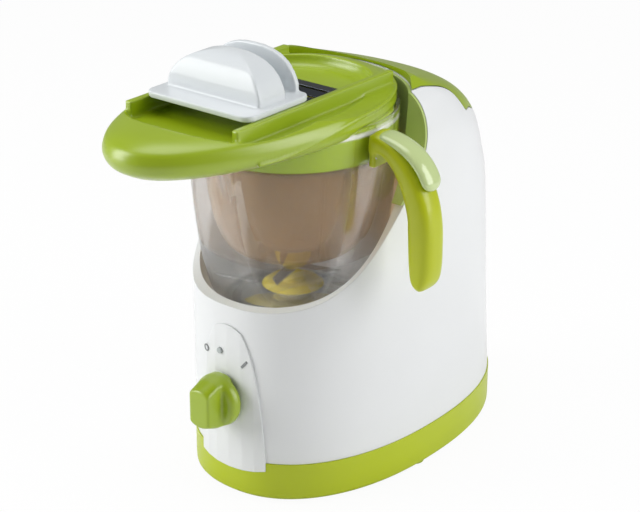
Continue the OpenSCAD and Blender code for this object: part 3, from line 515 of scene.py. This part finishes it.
DARK_STEEL = material("dark_steel", (0.10, 0.11, 0.13), 0.22, metal=1.0, drift=0.1, grain=900)
ALUMINIUM = material("cast_aluminium", (0.62, 0.63, 0.65), 0.5, metal=1.0, grain=500,
                     grain_depth=0.2)
LAMINATION = material("stacked_steel", (0.16, 0.16, 0.17), 0.5, metal=1.0, grain=700)
BLACK = material("black_plastic", (0.02, 0.02, 0.022), 0.45, drift=0.1)
GREY = material("grey_plastic", (0.28, 0.29, 0.30), 0.4)
IVORY = material("ivory_plastic", (0.74, 0.70, 0.60), 0.4)
BOARD = material("board_green", (0.02, 0.16, 0.06), 0.4, drift=0.15)
LENS = material("grey_lens", (0.44, 0.48, 0.48), 0.12, coat=0.6)
FOOT_RUBBER = material("foot_rubber", (0.40, 0.50, 0.02), 0.55, grain=500, grain_depth=0.15)
BLACK_RUBBER = material("black_rubber", (0.03, 0.03, 0.03), 0.65, grain=500, grain_depth=0.15)
SILICONE = material("white_silicone", (0.80, 0.80, 0.78), 0.5)

CAD_FINISH = {
    "rubber_feet": FOOT_RUBBER, "base_screws": STEEL, "seat_ring": BLACK_RUBBER,
    "control_fascia": WHITE, "scale_marks": GREY, "indicator_lens": LENS, "selector_switch": GREY,
    "control_board": BOARD, "motor_frame": ALUMINIUM, "motor_stator": LAMINATION,
    "upper_bearing": STEEL, "lower_bearing": STEEL, "motor_grommets": BLACK_RUBBER,
    "motor_screws": STEEL, "shaft_seal": BLACK_RUBBER, "boiler": ALUMINIUM, "boiler_heater": STEEL,
    "thermostat": BLACK, "thermal_fuse": IVORY, "water_tank": TANK_CLEAR,
    "tank_gasket": BLACK_RUBBER, "water_pipe": SILICONE, "steam_pipe": SILICONE,
    "steam_nozzle": GREY, "cap_hinge_pin": STEEL, "interlock_switch": BLACK, "cord_gland": GREY,
    "knob_shaft": IVORY, "rotor_core": LAMINATION, "motor_shaft": STEEL, "cooling_fan": BLACK,
    "drive_coupling": IVORY, "interlock_pin": IVORY, "handle_screws": STEEL, "blade_bush": STEEL,
    "blade_hub": HUB_YELLOW, "blades": STEEL, "jug_coupling": GREY, "lid_collar": LIME,
    "lid_seal": SILICONE, "cutter_frame": DARK_STEEL, "cutter_blades": DARK_STEEL,
    "food_pins": STEEL, "outer_housing": WHITE, "base_plinth": LIME_DEEP, "tower_panel": OLIVE,
    "control_knob": LIME, "tank_cap": LIME, "jug_bowl": CLEAR, "jug_handle": HANDLE_LIME,
    "thumb_pad": PAD_PALE, "steam_basket": SMOKE, "lid_tray": LIME, "pusher": PUSHER_WHITE_PAINTED_SHADE,
}


def finish_cad():
    """Every CAD node's material. A node that a piece stands for has one too, though it is hidden."""
    for name, finish in CAD_FINISH.items():
        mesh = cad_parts[name].data
        mesh.materials.clear()
        mesh.materials.append(finish)


def place(obj, finish, body, slot_name, *nodes):
    """Gives a piece its material, its body and the CAD nodes that it stands for."""
    obj.data.materials.clear()
    obj.data.materials.append(finish)
    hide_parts(*nodes)
    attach(obj, body)


# ------------------------------------------------------------------ pieces

def make_housing():
    shell = body_form("housing_shell")
    combine(shell, body_void())
    above = over_cap_line("above", -CAP_GAP)
    combine(shell, combine(above, bulkhead("keep", 0)))
    combine(shell, well_space("well"))
    combine(shell, tower_front("front"))
    crisp(shell, body_form("shading"))
    place(shell, WHITE, "base", "white_gloss", "outer_housing")


def make_cap():
    cap = body_form("cap_shell")
    combine(cap, body_void())
    combine(cap, well_space("well"))
    combine(cap, tower_front("front"))
    combine(cap, over_cap_line("above", CAP_GAP), "INTERSECT")
    combine(cap, bulkhead("keep", 2 * CAP_GAP))
    crisp(cap, body_form("shading"))
    place(cap, LIME, "cap", "lime_gloss", "tank_cap")


def make_panel():
    panel = body_form("panel_shell", 0.3)
    front = tower_front("front", -PANEL_PROUD)
    combine(front, well_space("well", -PANEL_PROUD), "UNION")
    combine(panel, front, "INTERSECT")
    low, high = node_box("tower_panel")
    keep = block("keep", (-HALF_WID, low.y - 5, low.z), (HALF_WID, high.y + 5, high.z))
    combine(panel, keep, "INTERSECT")
    combine(panel, well_space("well", -PANEL_WALL))
    combine(panel, tower_front("front", -PANEL_WALL))
    crisp(panel)
    place(panel, OLIVE, "base", "olive_panel", "tower_panel")


def make_plinth():
    floor = FOOT_H + 5
    rows = through([(FOOT_H, 3), (FOOT_H + 0.6, 1.7), (FOOT_H + 2, 0.7), (floor, 0.12),
                    (PLINTH_H, 0.12)], 4)
    rings = []
    for z, inset in rows:
        ring = outline(HALF_WID - inset, HALF_LEN - inset, HALF_LEN - inset)
        rings.append([(x, y, z) for x, y in ring])
    plinth = loft("plinth_shell", rings)
    inside = outline(HALF_WID - PLINTH_WALL, HALF_LEN - PLINTH_WALL, HALF_LEN - PLINTH_WALL)
    combine(plinth, upright("void", inside, floor, FAR))
    crisp(plinth)
    place(plinth, LIME_DEEP, "base", "plinth_lime", "base_plinth")


# --------------------------------------------------------------------- lid

LID_HALF_W = 67.8
LID_EGG = 0.178  # share by which it is wider at the rear and narrower at the front
LID_POWER = 2.1
LID_LOW_OUTSIDE = LID_TOP - 7.5  # its top outside the rails, towards the rear
COLLAR_R = 59.7  # the opening in the lid's underside, over the collar
BEAD_R = 1.3
BEAD_FRONT_Y = -160.0
BEAD_RUN = 95.0  # over which the bead rises to its full height
TRAY_Z = LID_TOP - 9
TRAY_MIDDLE_Y = LID_Y - 15.5
LID_SEAT = JUG_TOP + 0.3
RAIL_X = 44.0
RAIL_W = 5.0
CUTTER_LOW, CUTTER_HIGH = node_box("cutter_frame")


def egg(inset, count=240):
    """The lid's outline about its own middle, broad at the rear."""
    points = []
    for i in range(count):
        c, s = math.cos(math.tau * i / count), math.sin(math.tau * i / count)
        along = signed_power(s, 2 / LID_POWER)
        half_wide = LID_HALF_W * (1 + LID_EGG * along) - inset
        points.append((half_wide * signed_power(c, 2 / LID_POWER), (LID_LEN / 2 - inset) * along))
    return points


def tray_outline(inset):
    """The tray seen from above: round at the front, squarer at the rear."""
    front = outline(60.5 - inset, 65 - inset, 112 - inset, 2.5)
    return [(x, y + TRAY_MIDDLE_Y) for x, y in front]


def side_cut(sign):
    """What is left off the lid outside its rail: nothing at the front, more to the rear."""
    rings = []
    near, away = sign * (RAIL_X + RAIL_W / 2), sign * (HALF_WID + 10)
    for y, z in through([(JUG_Y - 72, LID_TOP + 3), (JUG_Y - 66, LID_TOP),
                         (JUG_Y - 16, LID_LOW_OUTSIDE), (LID_REAR + 10, LID_LOW_OUTSIDE)]):
        rings.append([(near, y, z + 1.5), (near + sign * 4, y, z + 0.3), (near + sign * 14, y, z),
                      (away, y, z - 0.6), (away, y, z + 30), (near, y, z + 30)])
    return loft("side_cut", rings)


def lid_bead():
    """The fine ridge that runs round the lid's rear half and sinks towards its front."""
    low, high = LID_Z + 6, LID_TOP - 8.2
    ridge = [(x, y + LID_Y) for x, y in egg(0.9)]
    ridge = [p for p in ridge if p[1] > BEAD_FRONT_Y]
    start = min(range(len(ridge)), key=lambda i: (ridge[i][0] < 0, ridge[i][1]))
    ridge = ridge[start:] + ridge[:start]
    rings = []
    for x, y in ridge:
        share = min(max((y - BEAD_FRONT_Y) / BEAD_RUN, 0.0), 1.0)
        z = low + (high - low) * share * share * (3 - 2 * share)
        out = Vector((x, y - LID_Y, 0)).normalized()
        turns = [math.tau * k / 10 for k in range(10)]
        reach = [(BEAD_R * math.cos(a), BEAD_R * math.sin(a)) for a in turns]
        rings.append([(x + side * out.x, y + side * out.y, z + up) for side, up in reach])
    return loft("bead", rings)


def make_lid():
    rows = through([(LID_Z, 12), (LID_Z + 5, 3.5), (LID_Z + 11, 0.15), (LID_TOP - 10, 0.8),
                    (LID_TOP - 6, 3.2), (LID_TOP - 3, 9), (LID_TOP - 1, 18), (LID_TOP, 30)])
    lid = loft("lid_shell", [[(x, y + LID_Y, z) for x, y in egg(inset)] for z, inset in rows])
    tray_rows = ((TRAY_Z, 7), (TRAY_Z + 1.2, 3.4), (TRAY_Z + 4, 1.2), (LID_TOP, 0), (LID_TOP + 9, -2))
    combine(lid, loft("tray", [[(x, y, z) for x, y in tray_outline(inset)] for z, inset in tray_rows]))
    for sign in (-1, 1):
        combine(lid, side_cut(sign))
    combine(lid, lid_bead(), "UNION")
    for sign in (-1, 1):
        low = (sign * RAIL_X - RAIL_W / 2, TRAY_MIDDLE_Y - 47, TRAY_Z - 0.5)
        high = (sign * RAIL_X + RAIL_W / 2, LID_REAR - 24, LID_TOP + RAIL_RISE)
        combine(lid, block("rail", low, high), "UNION")
    jug_front = JUG_Y - JUG_RIM_R
    combine(lid, lathe("rim", [(JUG_RIM_R + 0.6, 0), (JUG_RIM_R + 0.6, LID_SEAT)], JUG_Y))
    combine(lid, block("spout", (-27, jug_front - 10, 0), (27, jug_front + 30, LID_SEAT)))
    combine(lid, lathe("hollow", [(COLLAR_R, 0), (COLLAR_R, TRAY_Z - WALL)], JUG_Y))
    under = upright("under", [(x, y + LID_Y) for x, y in egg(17)], 0, TRAY_Z - WALL)
    front = block("front", (-HALF_WID, -FAR, 0), (HALF_WID, jug_front - 14, FAR))
    combine(lid, combine(under, front, "INTERSECT"))
    for grow, floor in ((0.2, TRAY_Z - 2), (-3, 0)):  # the insert's seat, then the hole under it
        low = (CUTTER_LOW.x - grow, CUTTER_LOW.y - grow, floor)
        high = (CUTTER_HIGH.x + grow, CUTTER_HIGH.y + grow, FAR)
        combine(lid, block("window", low, high))
    soften(lid, 0.8, 7)
    place(lid, LIME, "lid", "lime_gloss", "lid_tray")


# ------------------------------------------------------------------ pusher

PUSHER_LOW, PUSHER_HIGH = node_box("pusher")
PUSHER_Y = (PUSHER_LOW.y + PUSHER_HIGH.y) / 2
PUSHER_Z = LID_TOP + 2.1  # its plate's underside, just clear of the rails
PLATE_T = 4.0
GUIDE_W = 3.0
GUARD_T = 4.0


def rounded_plate(name, wide, long, corner, z0, z1, y):
    """A flat plate with round corners, seen from above, its middle at y."""
    points = []
    for turn, (sx, sy) in enumerate(((1, 1), (-1, 1), (-1, -1), (1, -1))):
        for i in range(9):
            a = math.pi / 2 * (turn + i / 8)
            points.append((sx * (wide / 2 - corner) + corner * math.cos(a),
                           y + sy * (long / 2 - corner) + corner * math.sin(a)))
    return upright(name, points, z0, z1)


def arch_points(wide, height):
    """A rounded arch seen from the front, standing on its own base line."""
    left = bezier((-wide / 2, 5), (-wide / 2 + 5, height * 0.8), (-wide / 4, height), (0, height))
    right = [(-x, z) for x, z in reversed(left[:-1])]
    return [(-wide / 2, -1)] + left + right + [(wide / 2, -1)]


def make_pusher():
    top = PUSHER_Z + PLATE_T
    long = PUSHER_HIGH.y - PUSHER_LOW.y
    body = rounded_plate("pusher_shell", PUSHER_HIGH.x * 2, long, 7, PUSHER_Z, top, PUSHER_Y)
    guide_x = RAIL_X - RAIL_W / 2 - 0.4
    for sign in (-1, 1):
        left, right = sorted((sign * guide_x, sign * (guide_x - GUIDE_W)))
        guide = block("guide", (left, PUSHER_LOW.y + 8, PUSHER_Z - 3),
                      (right, PUSHER_HIGH.y - 8, PUSHER_Z + 0.5))
        combine(body, guide, "UNION")
    combine(body, lathe("recess", [(20, PUSHER_Z - 1), (20, top - 1)], PUSHER_Y - 2))
    rear = PUSHER_Y + 12
    grip = facing_front("grip", [(x, z + top) for x, z in arch_points(76, 26)], rear - 26, rear)
    side = [(rear - 1, top - 2), (rear - 1, top + 27)] + [
        (rear + y, top + z) for y, z in bezier((-3, 26), (-18, 26), (-26, 20), (-26, 0))]
    combine(grip, across("side", side + [(rear - 26, top - 2)]), "INTERSECT")
    combine(body, grip, "UNION")
    guard_y = PUSHER_HIGH.y - 2
    guard = [(x, z + top) for x, z in arch_points(70, 26)]
    combine(body, facing_front("guard", guard, guard_y - GUARD_T, guard_y), "UNION")
    soften(body, 0.75, 7)
    place(body, PUSHER_WHITE_PAINTED_SHADE, "pusher_body", "pusher_white", "pusher")


# --------------------------------------------------------------------- jug

SPOUT_REACH = 8.0
SPOUT_DEPTH = 52.0
SPOUT_HALF_ANGLE = 0.36
SHAFT_HOLE_R = 7.05
INNER_FLOOR_Z = JUG_FLOOR_Z + 2


def jug_ring(radius, z, count=240):
    """One ring of the jug, pushed out to a V at the front for the spout."""
    share = max(0.0, (z - (JUG_TOP - SPOUT_DEPTH)) / SPOUT_DEPTH)
    ring = []
    for i in range(count):
        a = math.tau * i / count
        off = abs(a - 1.5 * math.pi)
        half = SPOUT_HALF_ANGLE * share
        lift = SPOUT_REACH * share * (1 - off / half) if off < half else 0.0
        ring.append(((radius + lift) * math.cos(a), JUG_Y + (radius + lift) * math.sin(a), z))
    return ring


def make_jug():
    foot = [(41, JUG_FLOOR_Z - 0.5), (41, JUG_FOOT_Z + 0.6), (41.6, JUG_FOOT_Z), (43.4, JUG_FOOT_Z),
            (44, JUG_FOOT_Z + 0.6), (44.4, JUG_FLOOR_Z - 4)]
    outer = resample(JUG_CURVE, 48)
    rim = [(JUG_RIM_R, JUG_TOP - 0.7), (JUG_RIM_R - 0.6, JUG_TOP),
           (JUG_RIM_R - JUG_WALL + 0.6, JUG_TOP), (JUG_RIM_R - JUG_WALL, JUG_TOP - 0.7)]
    side = [(r, z) for r, z in reversed(outer) if z > JUG_FLOOR_Z + 1.2]
    inner = [(r - JUG_WALL, max(z, INNER_FLOOR_Z)) for r, z in side]
    profile = [(SHAFT_HOLE_R, JUG_FLOOR_Z - 1)] + foot + outer[1:-1] + rim
    profile += inner[1:] + [(30, INNER_FLOOR_Z), (SHAFT_HOLE_R, INNER_FLOOR_Z)]
    rings = [jug_ring(r, z) for r, z in profile]
    n = len(rings[0])
    verts = [v for ring in rings for v in ring]
    faces = []
    for k in range(len(rings)):
        for i in range(n):
            a, b = k * n + i, k * n + (i + 1) % n
            c = ((k + 1) % len(rings)) * n
            faces.append((a, b, c + (i + 1) % n, c + i))
    jug = new_object("jug_shell", verts, faces)
    place(jug, CLEAR, "jug", "jug_clear", "jug_bowl")


HANDLE_X = JUG_RIM_R
FINGER_GAP = 29.0
HANDLE_T = 19.0
HANDLE_TIP = HANDLE_TOP - 97
HANDLE_HALF_W = 10.9
PAD_HALF_W = 8.9


def oval_sweep(name, outer, inner, half_wide, power, ends=(0.15, 0.15)):
    """A rounded bar between two side-view lines (x, z), its ends drawn in to soft tips."""
    rings = []
    last = len(outer) - 1
    for i, (p, q) in enumerate(zip(outer, inner)):
        t = i / last
        shrink = 1.0
        for edge, reach in ((t, ends[0]), (1 - t, ends[1])):
            if edge < reach:
                shrink *= math.sqrt(max(1 - (1 - edge / reach) ** 2, 0.0004))
        centre = ((p[0] + q[0]) / 2, (p[1] + q[1]) / 2)
        arm = ((p[0] - q[0]) / 2, (p[1] - q[1]) / 2)  # from the middle to the outer line
        ring = []
        for k in range(48):
            a = math.tau * k / 48
            c = signed_power(math.cos(a), 2 / power)
            s = signed_power(math.sin(a), 2 / power)
            ring.append((centre[0] + arm[0] * c * shrink, JUG_Y + half_wide * s * shrink,
                         centre[1] + arm[1] * c * shrink))
        rings.append(ring)
    return loft(name, rings)


def make_handle():
    top = HANDLE_TOP
    far_x = HANDLE_X + FINGER_GAP
    outer_x = far_x + HANDLE_T
    outer = [(HANDLE_X - 1, top + 2.6)] + bezier(
        (HANDLE_X + 4, top + 3), (HANDLE_X + 24, top + 1), (outer_x, top - 22), (outer_x, top - 62))
    outer += bezier((outer_x, top - 72), (outer_x, HANDLE_TIP + 14),
                    (far_x + 17, HANDLE_TIP), (far_x + 9.5, HANDLE_TIP))
    inner = [(HANDLE_X - 1, top - 14)] + bezier(
        (HANDLE_X + 5, top - 11), (HANDLE_X + 16, top - 11), (far_x - 3, top - 30), (far_x, top - 50))
    inner += bezier((far_x, top - 55), (far_x + 1, top - 80), (far_x + 1, HANDLE_TIP + 6),
                    (far_x + 8.5, HANDLE_TIP))
    handle = oval_sweep("handle_shell", resample(outer, 90), resample(inner, 90),
                        HANDLE_HALF_W, 3.0, (0.0001, 0.10))
    mount = block("mount", (HANDLE_X - 4, JUG_Y - 9, top - 20), (HANDLE_X + 4, JUG_Y + 9, top + 1))
    combine(handle, mount, "UNION")
    combine(handle, lathe("jug", [(JUG_RIM_R + 0.1, 0), (JUG_RIM_R + 0.1, FAR)], JUG_Y))
    soften(handle, 0.8, 12)
    place(handle, HANDLE_LIME, "jug", "handle_lime", "jug_handle")


def make_thumb_pad():
    top = HANDLE_TOP
    far_x = HANDLE_X + FINGER_GAP + HANDLE_T
    outer = bezier((HANDLE_X + 3.5, top + 3.6), (HANDLE_X + 24, top + 2.6),
                   (far_x - 6, top - 6), (far_x - 1, top - 27))
    inner = bezier((HANDLE_X + 3.5, top - 1.5), (HANDLE_X + 22, top - 4),
                   (far_x - 12, top - 13), (far_x - 7, top - 29))
    pad = oval_sweep("thumb_pad_shell", resample(outer, 60), resample(inner, 60),
                     PAD_HALF_W, 2.3, (0.10, 0.14))
    soften(pad, 0.6, 3)
    place(pad, PAD_PALE, "jug", "pad_pale", "thumb_pad")


# ------------------------------------------------------------------ basket

LUG_Z = JUG_TOP - 29
BASKET_FLANGE_R = JUG_RIM_R - JUG_WALL - 1.7
BASKET_DEPTH = 70.0
BASKET_FLOOR_Z = LUG_Z - BASKET_DEPTH
BASKET_WALL = 2
HOLE_R = 2
RIB_R = 1.1


def basket_curve(inset):
    """The basket's wall as radius and height, from its floor up."""
    low = LUG_Z - BASKET_DEPTH + inset
    return bezier((38, low), (51 - inset, low),
                  (BASKET_FLANGE_R - 8 - inset, LUG_Z - BASKET_DEPTH / 2),
                  (BASKET_FLANGE_R - 6 - inset, LUG_Z))


def make_basket():
    outer = [(12, BASKET_FLOOR_Z)] + basket_curve(0)
    top = [(BASKET_FLANGE_R, LUG_Z + 0.1), (BASKET_FLANGE_R, LUG_Z + 2.6),
           (BASKET_FLANGE_R - 8, LUG_Z + 2.6)]
    inner = list(reversed(basket_curve(BASKET_WALL))) + [(12, BASKET_FLOOR_Z + BASKET_WALL)]
    basket = lathe("basket_shell", outer + top + inner, JUG_Y)
    bore = [(HOLE_R, BASKET_FLOOR_Z - 5), (HOLE_R, BASKET_FLOOR_Z + 7)]
    holes = [(r, math.tau * i / (r / 2)) for r in (12, 24) for i in range(r // 2)]
    for r, a in holes:
        combine(basket, lathe("hole", bore, JUG_Y + r * math.sin(a), 16, r * math.cos(a)))
    turns = [math.tau * k / 12 for k in range(12)]
    for i in range(6):
        a = math.tau * (i + 0.5) / 6
        rib_rings = []
        for r, z in basket_curve(0)[6:]:
            x, y = math.cos(a) * (r + 0.7), math.sin(a) * (r + 0.7)
            rib_rings.append([(x + RIB_R * math.cos(b), y + RIB_R * math.sin(b) + JUG_Y, z)
                              for b in turns])
        combine(basket, loft("rib", rib_rings), "UNION")
    place(basket, SMOKE, "basket", "basket_smoke", "steam_basket")


# -------------------------------------------------------------------- knob

KNOB_LOW, KNOB_HIGH = node_box("control_knob")
KNOB_R = (KNOB_HIGH.x - KNOB_LOW.x) / 2
KNOB_T = 11.0
BAR_W = 17.0
SHAFT_R = 3


def make_knob():
    centre = ((KNOB_LOW.x + KNOB_HIGH.x) / 2, KNOB_HIGH.y, (KNOB_LOW.z + KNOB_HIGH.z) / 2)
    reach = KNOB_HIGH.y - KNOB_LOW.y
    skirt = [(KNOB_R - 3, 0), (KNOB_R - 0.6, 3), (KNOB_R, 4.5), (KNOB_R - 1, KNOB_T - 2),
             (KNOB_R - 4, KNOB_T)]
    knob = along_y("knob_shell", skirt, centre)
    bar = along_y("bar", [(KNOB_R, 0), (KNOB_R - 1.5, reach * 0.6), (KNOB_R - 5, reach)], centre)
    x, y, z = centre
    keep = block("keep", (x - BAR_W / 2, y - reach - 1, z - KNOB_R - 2),
                 (x + BAR_W / 2, y + 1, z + KNOB_R + 2))
    combine(knob, combine(bar, keep, "INTERSECT"), "UNION")
    combine(knob, along_y("bore", [(SHAFT_R, -1), (SHAFT_R, KNOB_T)], centre))
    soften(knob, 0.7, 26)
    place(knob, LIME, "knob", "lime_gloss", "control_knob")


# ------------------------------------------------- camera, light and stage

CAMERA_AT = Vector((757.62, -970.88, 662.77)) * MM
CAMERA_TO = Vector((0.0, -52.497, 141.127)) * MM
CAMERA_ROLL = math.radians(-0.164)
CAMERA_LENS = 108.04
CAMERA_SHIFT = (0.0317, 0.0185)


def make_camera():
    data = bpy.data.cameras.new("camera")
    data.sensor_fit = "HORIZONTAL"
    data.sensor_width = 36.0
    data.lens = CAMERA_LENS
    data.shift_x, data.shift_y = CAMERA_SHIFT
    data.clip_start, data.clip_end = 0.05, 50.0
    camera = bpy.data.objects.new("camera", data)
    scene.collection.objects.link(camera)
    turn = (CAMERA_TO - CAMERA_AT).to_track_quat("-Z", "Y")
    camera.rotation_mode = "QUATERNION"
    camera.rotation_quaternion = turn @ Quaternion((0, 0, 1), CAMERA_ROLL)
    camera.location = CAMERA_AT
    scene.camera = camera


def make_lamp(name, at, to, size, power):
    """A soft box at one point, turned to another."""
    data = bpy.data.lights.new(name, "AREA")
    data.shape = "RECTANGLE"
    data.size, data.size_y = size
    data.energy = power
    lamp = bpy.data.objects.new(name, data)
    scene.collection.objects.link(lamp)
    lamp.location = at
    lamp.rotation_mode = "QUATERNION"
    lamp.rotation_quaternion = (Vector(to) - Vector(at)).to_track_quat("-Z", "Y")


def make_lights():
    middle = (0.0, 0.0, 0.15)
    make_lamp("left_softbox", (-1.25, -1.25, 0.9), middle, (0.9, 1.5), 27)
    make_lamp("right_softbox", (1.5, 0.6, 0.8), middle, (1.0, 1.4), 19)
    make_lamp("top_softbox", (-0.2, 0.0, 1.8), middle, (1.2, 1.2), 12)


WORLD_STRENGTH = 0.22
PAPER_GLOW = 0.95
FLOOR_HALF = 3.0  # in metres


def seen_directly(nodes, links):
    """1 for what the camera sees itself or through clear plastic, and 0 for light on the object."""
    path = nodes.new("ShaderNodeLightPath")
    seen = nodes.new("ShaderNodeMath")
    seen.operation = "MAXIMUM"
    links.new(path.outputs["Is Camera Ray"], seen.inputs[0])
    links.new(path.outputs["Is Transmission Ray"], seen.inputs[1])
    return seen.outputs["Value"]


def make_world():
    world = bpy.data.worlds.new("studio")
    world.use_nodes = True
    nodes, links = world.node_tree.nodes, world.node_tree.links
    back = nodes["Background"]
    set_values(back, Color=(1, 1, 1, 1))
    strength = nodes.new("ShaderNodeMapRange")
    set_values(strength, To_Min=WORLD_STRENGTH, To_Max=1.0)
    links.new(seen_directly(nodes, links), strength.inputs["Value"])
    links.new(strength.outputs["Result"], back.inputs["Strength"])
    scene.world = world


def make_floor():
    corners = ((-1, -1), (1, -1), (1, 1), (-1, 1))
    reach = FLOOR_HALF / MM
    floor = new_object("studio_floor", [(x * reach, y * reach, 0) for x, y in corners], [(0, 1, 2, 3)])
    paper = bpy.data.materials.new("paper")
    paper.use_nodes = True
    nodes, links = paper.node_tree.nodes, paper.node_tree.links
    shader = nodes["Principled BSDF"]
    set_values(shader, Base_Color=(0.9, 0.9, 0.9, 1), Roughness=0.8)
    glow = nodes.new("ShaderNodeEmission")
    share = nodes.new("ShaderNodeMath")
    share.operation = "MULTIPLY"
    share.inputs[1].default_value = PAPER_GLOW
    links.new(seen_directly(nodes, links), share.inputs[0])
    mix = nodes.new("ShaderNodeMixShader")
    links.new(share.outputs["Value"], mix.inputs["Fac"])
    links.new(shader.outputs["BSDF"], mix.inputs[1])
    links.new(glow.outputs["Emission"], mix.inputs[2])
    links.new(mix.outputs["Shader"], nodes["Material Output"].inputs["Surface"])
    floor.data.materials.append(paper)


make_camera()
make_lights()
make_world()
make_floor()
finish_cad()
make_housing()
make_cap()
make_panel()
make_plinth()
make_lid()
make_pusher()
make_jug()
make_handle()
make_thumb_pad()
make_basket()
make_knob()

scene.view_settings.view_transform = "Standard"
